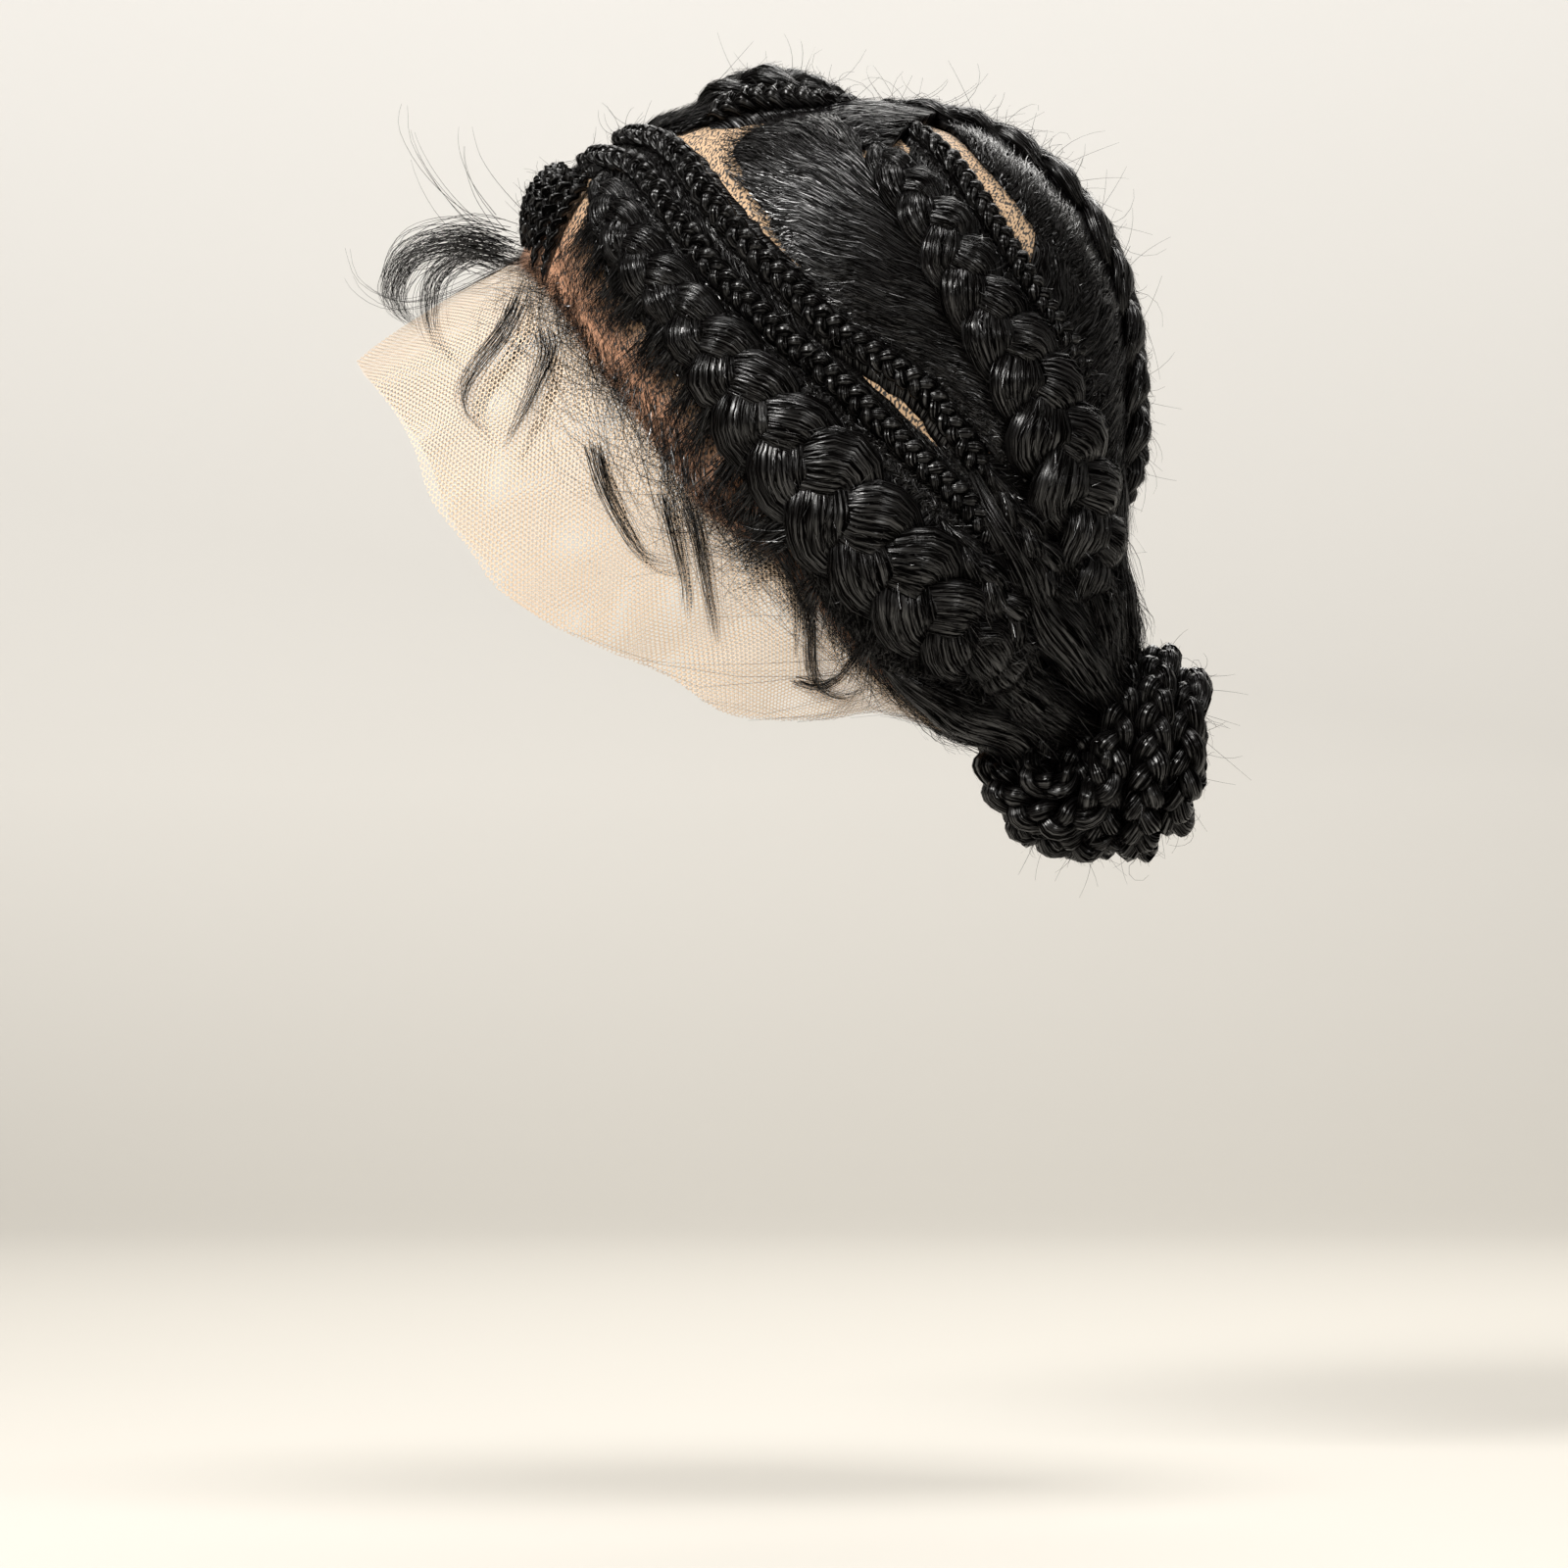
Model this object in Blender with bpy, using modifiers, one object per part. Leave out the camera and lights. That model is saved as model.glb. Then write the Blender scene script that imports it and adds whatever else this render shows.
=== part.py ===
"""Full lace braid wig with feed-in cornrows gathered into a coiled nape bun.

The front of the wig faces -Y, its left side is at +X and +Z is up. The origin
is the crown seat, inside the top of the lace dome. All sizes are in metres.
"""

import math

import bmesh
import bpy
from mathutils import Vector

# Head form that the dome is shaped to
HEAD_HALF_WIDTH = 0.075
HEAD_HALF_LENGTH = 0.101
CROWN_RISE = 0.0915
NAPE_DROP = 0.130
ROUNDNESS = 2.4

# Lace base
LACE_THICKNESS = 0.0012
FLAP_REACH = 0.047
LACE_COLUMNS = 36
DOME_RINGS = 11
FLAP_RINGS = 3

# Hair seated on the lace
SEAT_GAP = 0.00035
PAD_GAP = 0.00050
BRAID_HALF_WIDTH = 0.020
BRAID_HEIGHT = 0.011
BRAID_PITCH = 0.020
ROW_HALF_WIDTH = 0.0046
ROW_HEIGHT = 0.0050
ROW_PITCH = 0.011
BRAID_STEP = 0.0075
ROW_STEP = 0.0078
SHORT_STEP = 0.0060
PAD_THICKNESS = 0.0030
SIDE_GAP = 0.0006
GROOVE = 0.16

# Bun
CORD_RADIUS = 0.0062
BUN_RADIUS = 0.0338
BUN_DEPTH = 0.0127
BUN_SETBACK = 0.0012
BUN_DROP_SHARE = 0.915

# Finishes: colour and roughness
HAIR = ((0.012, 0.010, 0.009, 1.0), 0.45)
LACE = ((0.62, 0.42, 0.27, 1.0), 0.85)

# Braid routes, front to back: shares of half width, half length and height,
# then shares of the braid's half width and height
FRONT_ROUTE = (
    (0.56, -0.64, 0.71, 0.34, 0.62),
    (0.84, -0.52, 0.44, 0.48, 0.85),
    (0.96, -0.34, 0.19, 0.57, 0.95),
    (1.00, -0.13, -0.10, 0.84, 1.02),
    (0.97, 0.11, -0.32, 1.00, 1.10),
    (0.88, 0.32, -0.51, 0.95, 1.10),
    (0.77, 0.46, -0.61, 0.80, 1.05),
    (0.66, 0.56, -0.66, 0.62, 0.95),
    (0.55, 0.64, -0.70, 0.46, 0.80),
)
REAR_ROUTE = (
    (0.66, 0.22, 0.81, 0.36, 0.55),
    (0.77, 0.29, 0.70, 0.46, 0.75),
    (0.86, 0.44, 0.47, 0.56, 0.90),
    (0.87, 0.57, 0.22, 0.66, 0.95),
    (0.78, 0.72, -0.03, 0.82, 1.00),
    (0.71, 0.78, -0.14, 0.90, 1.05),
    (0.62, 0.83, -0.26, 0.90, 1.10),
    (0.50, 0.86, -0.38, 0.80, 1.15),
    (0.41, 0.86, -0.49, 0.68, 1.15),
    (0.33, 0.84, -0.58, 0.50, 1.05),
)
CENTRE_ROUTE = (
    (0.00, 0.22, 0.98, 0.42, 0.50),
    (0.00, 0.45, 0.93, 0.60, 0.72),
    (0.00, 0.66, 0.80, 0.72, 0.88),
    (0.00, 0.85, 0.58, 0.76, 0.92),
    (0.00, 0.96, 0.30, 0.76, 0.95),
    (0.00, 1.00, 0.04, 0.72, 1.00),
    (0.00, 0.99, -0.14, 0.62, 1.05),
    (0.00, 0.97, -0.28, 0.42, 0.95),
)
CROWN_ROUTE = (
    (0.00, -0.34, 0.97, 0.80, 0.75),
    (0.00, -0.24, 0.98, 0.86, 1.15),
    (0.00, -0.10, 0.99, 0.72, 1.25),
    (0.00, 0.04, 1.00, 0.55, 0.98),
    (0.00, 0.17, 0.99, 0.38, 0.62),
)

# Thin rows: the same shares, of a row's half width and height
LOWER_ROW = (
    (0.07, -0.70, 0.81, 0.80, 0.90),
    (0.33, -0.66, 0.80, 0.95, 1.00),
    (0.59, -0.535, 0.755, 0.95, 1.00),
    (0.83, -0.405, 0.565, 0.95, 1.00),
    (0.93, -0.29, 0.39, 1.00, 1.00),
    (0.99, -0.10, 0.18, 1.00, 1.00),
    (1.00, 0.06, 0.03, 1.00, 1.00),
    (0.99, 0.18, -0.06, 1.00, 1.00),
    (0.96, 0.35, -0.19, 1.00, 1.00),
    (0.90, 0.49, -0.29, 1.00, 1.00),
    (0.85, 0.59, -0.38, 0.95, 1.00),
    (0.76, 0.68, -0.49, 0.85, 0.90),
    (0.66, 0.74, -0.57, 0.70, 0.80),
)
UPPER_ROW = (
    (0.07, -0.59, 0.88, 0.80, 0.90),
    (0.32, -0.54, 0.87, 0.95, 1.00),
    (0.56, -0.43, 0.82, 0.95, 1.00),
    (0.78, -0.33, 0.68, 1.00, 1.00),
    (0.89, -0.23, 0.53, 1.00, 1.00),
    (0.96, -0.10, 0.38, 1.00, 1.00),
    (0.99, 0.10, 0.17, 1.00, 1.00),
    (0.96, 0.37, -0.02, 1.00, 1.00),
    (0.93, 0.46, -0.11, 1.00, 1.00),
    (0.87, 0.57, -0.23, 0.90, 0.90),
)
BACK_ROW = (
    (0.46, 0.32, 0.90, 0.70, 0.90),
    (0.59, 0.43, 0.80, 0.90, 1.00),
    (0.69, 0.52, 0.67, 0.95, 1.00),
    (0.74, 0.60, 0.53, 0.95, 1.00),
    (0.74, 0.70, 0.35, 0.95, 1.00),
    (0.70, 0.78, 0.22, 0.95, 1.00),
    (0.61, 0.85, 0.09, 0.90, 1.00),
    (0.52, 0.91, -0.02, 0.80, 0.90),
    (0.42, 0.94, -0.12, 0.65, 0.80),
)
CROWN_ROW = (
    (0.42, -0.31, 0.93, 0.80, 1.10),
    (0.37, -0.18, 0.96, 1.00, 1.70),
    (0.32, -0.05, 0.98, 1.00, 1.60),
    (0.26, 0.07, 0.99, 0.95, 1.20),
    (0.20, 0.19, 0.99, 0.80, 0.90),
)

# Short rows from the forehead: shares across, of half length and of height
# at the start, then the same three at the end
FOREHEAD_ROWS = (
    (0.00, -0.93, 0.54, 0.00, -0.755, 0.78),
    (0.13, -0.925, 0.53, 0.13, -0.755, 0.78),
    (0.26, -0.905, 0.50, 0.25, -0.75, 0.77),
    (0.39, -0.87, 0.47, 0.37, -0.735, 0.75),
)
FOREHEAD_HEIGHT = 1.75

# Edges of the combed hair, as shares across, along and up
PANEL_EDGE = (
    (0.38, 0.16, 0.95),
    (0.52, 0.00, 0.91),
    (0.70, -0.16, 0.79),
    (0.80, -0.20, 0.68),
    (0.91, -0.10, 0.51),
    (0.98, 0.09, 0.30),
    (0.98, 0.265, 0.175),
    (0.94, 0.44, 0.06),
    (0.90, 0.55, -0.06),
)
BACK_EDGE = (
    (0.36, 0.50, 0.86),
    (0.50, 0.57, 0.78),
    (0.58, 0.68, 0.65),
    (0.60, 0.76, 0.53),
    (0.55, 0.85, 0.38),
    (0.48, 0.91, 0.25),
    (0.40, 0.96, 0.12),
)
CROWN_EDGE = (
    (0.50, -0.37, 0.86),
    (0.38, -0.44, 0.89),
    (0.20, -0.49, 0.92),
    (0.00, -0.50, 0.93),
)
CROWN_END = (
    (0.49, -0.30, 0.90),
    (0.36, -0.345, 0.93),
    (0.20, -0.355, 0.95),
    (0.00, -0.355, 0.96),
)
NAPE_TOP = (
    (0.30, 0.79, -0.66),
    (0.16, 0.83, -0.65),
    (0.00, 0.845, -0.64),
)
NAPE_EDGE = (
    (0.31, 0.575, -0.825),
    (0.16, 0.62, -0.83),
    (0.00, 0.635, -0.83),
)

# Edge of the hair on the lace from the forehead to the nape, then the cut
# edge of the lace: shares of half width and half length, and of the height
# measured from the widest level, with the bow of the lace between them. Past
# 1 in front, the lace's share along is of its reach beyond the head form
EDGES = (
    (0.00, -0.955, 0.489, 0.00, -2.000, 0.105, 0.030),
    (0.30, -0.910, 0.450, 0.36, -1.884, 0.020, 0.034),
    (0.51, -0.860, 0.400, 0.60, -1.711, -0.060, 0.036),
    (0.69, -0.770, 0.280, 0.78, -1.539, -0.165, 0.036),
    (0.80, -0.690, 0.130, 0.85, -1.409, -0.300, 0.034),
    (0.89, -0.560, -0.040, 0.89, -1.129, -0.430, 0.030),
    (0.93, -0.440, -0.160, 0.88, -0.885, -0.570, 0.030),
    (0.95, -0.340, -0.280, 0.83, -0.672, -0.648, 0.028),
    (0.96, -0.190, -0.360, 0.77, -0.444, -0.728, 0.018),
    (0.94, -0.060, -0.430, 0.72, -0.228, -0.822, 0.014),
    (0.86, 0.120, -0.600, 0.67, 0.050, -0.832, 0.010),
    (0.78, 0.230, -0.700, 0.65, 0.250, -0.815, 0.012),
    (0.60, 0.410, -0.800, 0.56, 0.415, -0.852, 0.006),
    (0.30, 0.570, -0.850, 0.29, 0.570, -0.890, 0.004),
    (0.00, 0.620, -0.850, 0.00, 0.615, -0.890, 0.004),
)

# Coils of the bun: place back from the bun's centre as a share of its depth,
# drop from the centre and ring radius as shares of the bun's radius, sections
COILS = (
    (-1.96, 0.36, 0.36, 14),
    (-1.00, 0.19, 0.64, 18),
    (0.00, 0.00, 0.82, 22),
    (1.00, 0.02, 0.82, 22),
    (1.82, 0.03, 0.60, 18),
    (1.90, 0.03, 0.225, 10),
)


def clear_scene():
    """Empty the scene before the wig is built."""
    for item in list(bpy.data.objects):
        bpy.data.objects.remove(item, do_unlink=True)


def make_material(name, finish):
    """Principled material of a sub-part, from its colour and roughness."""
    colour, roughness = finish
    material = bpy.data.materials.new(name)
    material.use_nodes = True
    shader = material.node_tree.nodes["Principled BSDF"]
    shader.inputs["Base Color"].default_value = colour
    shader.inputs["Roughness"].default_value = roughness
    shader.inputs["Metallic"].default_value = 0.0
    return material


def power(value, exponent):
    """Power of a number that keeps its sign."""
    return math.copysign(abs(value) ** exponent, value)


def on_head(across, along, up):
    """Point of the head form in the direction of three shares, with its normal."""
    size = (abs(across) ** ROUNDNESS + abs(along) ** ROUNDNESS + abs(up) ** ROUNDNESS)
    size = size ** (1.0 / ROUNDNESS)
    a = across / size
    b = along / size
    u = up / size
    rise = CROWN_RISE if u >= 0 else NAPE_DROP
    point = Vector((a * HEAD_HALF_WIDTH, b * HEAD_HALF_LENGTH, u * rise - CROWN_RISE))
    steep = ROUNDNESS - 1.0
    normal = Vector((
        power(a, steep) / HEAD_HALF_WIDTH,
        power(b, steep) / HEAD_HALF_LENGTH,
        power(u, steep) / rise,
    ))
    return point, normal.normalized()


def near_head(point):
    """The head form's point and normal beside any point in space."""
    up = point.z + CROWN_RISE
    rise = CROWN_RISE if up >= 0 else NAPE_DROP
    return on_head(point.x / HEAD_HALF_WIDTH, point.y / HEAD_HALF_LENGTH, up / rise)


def lifted(point, height):
    """Point at a height above the head form beside the point."""
    base, normal = near_head(point)
    return base + normal * height


def row_at(table, share):
    """Row of a table at a share of its length, joined smoothly."""
    last = len(table) - 1
    place = min(max(share, 0.0), 1.0) * last
    i = min(int(place), last - 1)
    t = place - i
    rows = [table[min(max(i + k, 0), last)] for k in (-1, 0, 1, 2)]
    values = []
    for p0, p1, p2, p3 in zip(*rows):
        bend = 2 * p0 - 5 * p1 + 4 * p2 - p3
        turn = -p0 + 3 * p1 - 3 * p2 + p3
        values.append(0.5 * (2 * p1 + (p2 - p0) * t + bend * t * t + turn * t ** 3))
    return values


def route_frames(table, count, start=0.0, end=1.0):
    """Evenly spaced places along a route: point, normal, side, distance and sizes."""
    fine = [row_at(table, i / 240) for i in range(241)]
    points = [on_head(*row[:3])[0] for row in fine]
    run = [0.0]
    for before, after in zip(points, points[1:]):
        run.append(run[-1] + (after - before).length)
    frames = []
    for k in range(count):
        want = run[-1] * (start + (end - start) * k / (count - 1))
        i = next((j for j in range(1, 241) if run[j] >= want), 240)
        span = run[i] - run[i - 1]
        share = (want - run[i - 1]) / span if span else 0.0
        values = [p + (q - p) * share for p, q in zip(fine[i - 1], fine[i])]
        point, normal = on_head(*values[:3])
        low = points[max(i - 3, 0)]
        high = points[min(i + 2, 240)]
        side = (high - low).cross(normal).normalized()
        frames.append((point, normal, side, want, values[3:]))
    return frames


def to_mesh(name, bm, finish, seat):
    """Object for a sub-part, with its own material, parented to the wig's seat."""
    bmesh.ops.recalc_face_normals(bm, faces=bm.faces)
    mesh = bpy.data.meshes.new(name)
    bm.to_mesh(mesh)
    bm.free()
    mesh.materials.append(make_material(name, finish))
    item = bpy.data.objects.new(name, mesh)
    seat.users_collection[0].objects.link(item)
    item.parent = seat
    return item


def loft(name, rings, finish, wig, closed=False):
    """Solid through rings of points, capped at both ends unless it is closed."""
    bm = bmesh.new()
    loops = [[bm.verts.new(point) for point in ring] for ring in rings]
    pairs = list(zip(loops, loops[1:]))
    if closed:
        pairs.append((loops[-1], loops[0]))
    for first, second in pairs:
        count = len(first)
        for i in range(count):
            j = (i + 1) % count
            bm.faces.new((first[i], first[j], second[j], second[i]))
    if not closed:
        bm.faces.new(loops[0])
        bm.faces.new(loops[-1])
    return to_mesh(name, bm, finish, wig)


def facing(rings, side):
    """Rings for the wig's left (1) or right (-1) side."""
    return [[Vector((p.x * side, p.y, p.z)) for p in ring] for ring in rings]


def plait(name, table, side, sizes, across, step, finish, wig):
    """Cornrow braid seated on the lace, with lobes that alternate down its two sides."""
    widest, tallest, pitch = sizes
    length = route_frames(table, 2)[-1][3]
    count = max(int(length / step) + 1, 6)
    frames = route_frames(table, count)
    seat = LACE_THICKNESS + SEAT_GAP
    rings = []
    for point, normal, wide, distance, (width_share, height_share) in frames:
        half = widest * width_share
        height = tallest * height_share
        ends = min(distance, frames[-1][3] - distance) / (0.6 * pitch)
        close = 0.55 + 0.45 * min(ends, 1.0)
        ring = []
        for k in range(across):
            v = 1.0 - 2.0 * k / (across - 1)
            ring.append(lifted(point + wide * (v * half * 0.96 * close), seat))
        tops = across + 1
        for k in range(tops):
            v = -1.0 + 2.0 * k / (tops - 1)
            phase = distance / pitch + (0.5 if v > 0 else 0.0) - 0.3 * abs(v)
            lobe = abs(math.cos(math.pi * phase))
            crest = (1.0 - abs(v) ** 2.6 * 0.72) * (0.76 + 0.24 * lobe)
            crest *= 1.0 - GROOVE * math.exp(-((v / 0.18) ** 2))
            reach = v * half * close * (0.92 + 0.08 * lobe)
            base, lean = near_head(point + wide * reach)
            ring.append(base + lean * (seat + height * crest * close))
        rings.append(ring)
    return loft(name, facing(rings, side), finish, wig)


def beside(table, widest, count, start, end):
    """Places just past the outer edge of a braid, over a share of its length."""
    places = []
    for point, normal, wide, distance, sizes in route_frames(table, count, start, end):
        places.append(near_head(point + wide * (widest * sizes[0] + SIDE_GAP))[0])
    return places


def pad(name, first, second, side, across, heights, finish, wig):
    """Combed hair laid between two edges; heights follow the two edges and the middle."""
    low, middle, high = heights
    seat = LACE_THICKNESS + PAD_GAP
    rings = []
    last = len(first) - 1
    for i, (start, end) in enumerate(zip(first, second)):
        fade = 0.45 + 0.55 * min(min(i, last - i) / 1.5, 1.0)
        ring = []
        for k in range(across):
            ring.append(lifted(start.lerp(end, k / (across - 1)), seat))
        for k in range(across):
            v = 1.0 - k / (across - 1)
            edge = low + (high - low) * v
            full = edge + (middle - edge) * 4.0 * v * (1.0 - v)
            ring.append(lifted(start.lerp(end, v), seat + full * fade))
        rings.append(ring)
    return loft(name, facing(rings, side), finish, wig)


def places_on(table, count):
    """Evenly spaced head form points along a table of shares."""
    return [frame[0] for frame in route_frames(table, count)]


def both_sides(table):
    """The table from its outer end to the centre, then on to the other side."""
    other = [(-row[0],) + tuple(row[1:]) for row in reversed(table[:-1])]
    return tuple(table) + tuple(other)


def hair_edge(count, start, end):
    """Head form points along the edge of the hair, by shares of its length."""
    rows = [row_at(EDGES, start + (end - start) * k / (count - 1)) for k in range(count)]
    return [on_head(*row[:3])[0] for row in rows]


def lace_base(finish, wig):
    """Lace dome from the crown to the hair edge, with its uncut margin beyond."""
    half = LACE_COLUMNS // 2
    columns = []
    for j in range(LACE_COLUMNS):
        side = 1 if j <= half else -1
        share = (j if j <= half else LACE_COLUMNS - j) / half
        row = row_at(EDGES, share)
        hair = Vector((row[0] * side, row[1], row[2]))
        if j in (0, half):
            hair.x = 0.0
        turn = hair.angle(Vector((0.0, 0.0, 1.0)))
        flat = Vector((hair.x, hair.y, 0.0)).normalized()
        outer = []
        for k in range(1, DOME_RINGS + 1):
            angle = turn * k / DOME_RINGS
            way = flat * math.sin(angle) + Vector((0.0, 0.0, math.cos(angle)))
            outer.append(on_head(*way)[0])
        edge_rise = CROWN_RISE if row[5] >= 0 else NAPE_DROP
        beyond = min(row[4] + 1.0, 0.0)
        edge = Vector((
            row[3] * side * HEAD_HALF_WIDTH,
            max(row[4], -1.0) * HEAD_HALF_LENGTH + beyond * FLAP_REACH,
            row[5] * edge_rise - CROWN_RISE,
        ))
        if j in (0, half):
            edge.x = 0.0
        start, lean = on_head(*hair)
        chord = edge - start
        away = lean - chord * (lean.dot(chord) / chord.length_squared)
        away.normalize()
        bow = away * row[6] * chord.length * 2.0
        for k in range(1, FLAP_RINGS + 1):
            t = k / FLAP_RINGS
            outer.append(start + chord * t + bow * (t * (1.0 - t) * 2.0))
        columns.append(outer)
    bm = bmesh.new()
    top = bm.verts.new(Vector((0.0, 0.0, 0.0)))
    skin = [[bm.verts.new(place) for place in column] for column in columns]
    for j, here in enumerate(skin):
        there = skin[(j + 1) % LACE_COLUMNS]
        bm.faces.new((top, here[0], there[0]))
        for k in range(len(here) - 1):
            bm.faces.new((here[k], here[k + 1], there[k + 1], there[k]))
    item = to_mesh("lace_base", bm, finish, wig)
    wall = item.modifiers.new("wall", "SOLIDIFY")
    wall.thickness = LACE_THICKNESS
    wall.offset = 1.0
    return item


def bun_place(back, drop):
    """Point on the bun's middle plane, by shares of its depth and its radius."""
    return Vector((
        0.0,
        HEAD_HALF_LENGTH + BUN_SETBACK + back * BUN_DEPTH,
        -CROWN_RISE - NAPE_DROP * BUN_DROP_SHARE - drop * BUN_RADIUS,
    ))


def coil(name, row, finish, wig):
    """Closed ring of plaited cord, standing square to the bun's axis."""
    back, drop, radius_share, count = row
    ring_radius = BUN_RADIUS * radius_share
    centre = bun_place(back, drop)
    rings = []
    for i in range(count):
        turn = 2.0 * math.pi * i / count
        out = Vector((math.sin(turn), 0.0, math.cos(turn)))
        swell = 1.0 if i % 2 else 0.9
        ring = []
        for k in range(8):
            angle = 2.0 * math.pi * k / 8
            reach = out * math.cos(angle) + Vector((0.0, math.sin(angle), 0.0))
            ring.append(out * ring_radius + reach * CORD_RADIUS * swell)
        rings.append(ring)
    item = loft(name, rings, finish, wig, closed=True)
    item.location = centre
    return item


def bun_core(finish, wig):
    """Wound hair inside the coils, seated on the nape."""
    stations = (
        (-2.30, 0.36, 0.12),
        (-1.96, 0.36, 0.16),
        (-1.55, 0.34, 0.20),
        (-1.00, 0.19, 0.44),
        (-0.50, 0.14, 0.47),
        (0.00, 0.02, 0.60),
        (1.00, 0.02, 0.60),
        (1.34, 0.03, 0.50),
    )
    rings = []
    for back, drop, share in stations:
        ring = []
        for k in range(14):
            turn = 2.0 * math.pi * k / 14
            out = Vector((math.sin(turn), 0.0, math.cos(turn)))
            ring.append(bun_place(back, drop) + out * (BUN_RADIUS * share))
        rings.append(ring)
    return loft("bun_core", rings, finish, wig)


def build():
    """Model every sub-part of the wig around its crown seat."""
    clear_scene()
    collection = bpy.data.collections.new("braid_wig")
    bpy.context.scene.collection.children.link(collection)
    wig = bpy.data.objects.new("wig_seat", None)
    wig.empty_display_size = HEAD_HALF_WIDTH
    collection.objects.link(wig)

    braid = (BRAID_HALF_WIDTH, BRAID_HEIGHT, BRAID_PITCH)
    thin = (ROW_HALF_WIDTH, ROW_HEIGHT, ROW_PITCH)
    tall = (ROW_HALF_WIDTH, ROW_HEIGHT * FOREHEAD_HEIGHT, ROW_PITCH)
    lace_base(LACE, wig)
    for side, word in ((1, "left"), (-1, "right")):
        plait("front_braid_" + word, FRONT_ROUTE, side, braid, 5, BRAID_STEP, HAIR, wig)
        plait("rear_braid_" + word, REAR_ROUTE, side, braid, 5, BRAID_STEP, HAIR, wig)
        plait("lower_row_" + word, LOWER_ROW, side, thin, 3, ROW_STEP, HAIR, wig)
        plait("upper_row_" + word, UPPER_ROW, side, thin, 3, ROW_STEP, HAIR, wig)
        plait("back_row_" + word, BACK_ROW, side, thin, 3, SHORT_STEP, HAIR, wig)
        plait("crown_row_" + word, CROWN_ROW, side, thin, 3, SHORT_STEP, HAIR, wig)
        for i, row in enumerate(FOREHEAD_ROWS[1:]):
            table = (row[:3] + (1.0, 0.5), row[3:] + (0.9, 1.0))
            middle = tuple((a + b) / 2 for a, b in zip(row[:3], row[3:])) + (1.0, 1.0)
            table = (table[0], middle, table[1])
            label = "forehead_row_%s_%d" % (word, i + 1)
            plait(label, table, side, tall, 3, SHORT_STEP, HAIR, wig)
        pad("combed_panel_" + word, places_on(PANEL_EDGE, 14),
            beside(REAR_ROUTE, BRAID_HALF_WIDTH, 14, 0.02, 0.56),
            side, 8, (0.0012, PAD_THICKNESS, PAD_THICKNESS), HAIR, wig)
        pad("back_hair_" + word, places_on(BACK_EDGE, 8),
            beside(CENTRE_ROUTE, BRAID_HALF_WIDTH, 8, 0.16, 0.66),
            side, 6, (0.0010, PAD_THICKNESS, PAD_THICKNESS), HAIR, wig)
        pad("side_hair_" + word, hair_edge(12, 0.165, 0.66),
            beside(FRONT_ROUTE, BRAID_HALF_WIDTH, 12, 0.06, 0.60),
            side, 4, (0.0010, 0.0020, PAD_THICKNESS), HAIR, wig)
        pad("nape_hair_" + word, hair_edge(7, 0.668, 0.895),
            beside(FRONT_ROUTE, BRAID_HALF_WIDTH, 7, 0.61, 0.99),
            side, 6, (0.0016, PAD_THICKNESS * 2.0, PAD_THICKNESS * 2.0), HAIR, wig)
    row = FOREHEAD_ROWS[0]
    middle = tuple((a + b) / 2 for a, b in zip(row[:3], row[3:])) + (1.0, 1.0)
    table = (row[:3] + (1.0, 0.5), middle, row[3:] + (0.9, 1.0))
    plait("forehead_row_centre", table, 1, tall, 3, SHORT_STEP, HAIR, wig)
    plait("centre_braid", CENTRE_ROUTE, 1, braid, 5, BRAID_STEP, HAIR, wig)
    plait("crown_braid", CROWN_ROUTE, 1, braid, 5, SHORT_STEP, HAIR, wig)
    pad("crown_hair", places_on(both_sides(CROWN_EDGE), 9),
        places_on(both_sides(CROWN_END), 9),
        1, 4, (0.0030, 0.0060, 0.0070), HAIR, wig)
    pad("nape_hair_centre", places_on(both_sides(NAPE_EDGE), 7),
        places_on(both_sides(NAPE_TOP), 7),
        1, 5, (0.0016, PAD_THICKNESS * 2.6, PAD_THICKNESS * 2.4), HAIR, wig)
    for i, row in enumerate(COILS):
        coil("bun_coil_%d" % (i + 1), row, HAIR, wig)
    bun_core(HAIR, wig)


build()
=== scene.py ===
"""Dressed model of a full lace braid wig with cornrows and a coiled nape bun.

The front of the wig faces -Y, its left side is at +X and +Z is up. The origin
is the crown seat inside the top of the lace dome. All sizes are in metres.
"""

import logging
import math
from dataclasses import dataclass, field
from enum import Enum

import bmesh
import bpy
import numpy as np
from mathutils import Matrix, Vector


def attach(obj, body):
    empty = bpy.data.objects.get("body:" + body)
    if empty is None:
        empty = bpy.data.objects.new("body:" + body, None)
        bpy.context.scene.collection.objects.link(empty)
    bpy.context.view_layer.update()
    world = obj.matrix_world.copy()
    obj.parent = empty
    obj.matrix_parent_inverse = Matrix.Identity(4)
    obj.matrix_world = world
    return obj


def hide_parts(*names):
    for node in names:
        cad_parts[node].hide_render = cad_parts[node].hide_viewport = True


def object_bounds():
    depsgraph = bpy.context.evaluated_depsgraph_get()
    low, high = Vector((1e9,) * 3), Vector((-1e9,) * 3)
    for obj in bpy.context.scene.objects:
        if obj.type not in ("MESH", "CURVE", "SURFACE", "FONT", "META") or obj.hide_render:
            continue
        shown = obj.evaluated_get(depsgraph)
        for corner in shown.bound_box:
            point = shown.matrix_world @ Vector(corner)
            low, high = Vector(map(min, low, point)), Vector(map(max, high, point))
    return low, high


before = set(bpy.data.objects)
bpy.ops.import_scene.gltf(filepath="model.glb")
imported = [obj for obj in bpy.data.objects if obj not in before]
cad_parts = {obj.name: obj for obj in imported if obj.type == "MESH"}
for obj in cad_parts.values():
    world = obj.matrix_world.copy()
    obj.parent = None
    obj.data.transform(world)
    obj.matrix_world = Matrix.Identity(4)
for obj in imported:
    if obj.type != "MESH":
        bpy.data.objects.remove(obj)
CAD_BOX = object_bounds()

LOG = logging.getLogger("braid_wig")
Rows = tuple[tuple[float, ...], ...]
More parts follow.
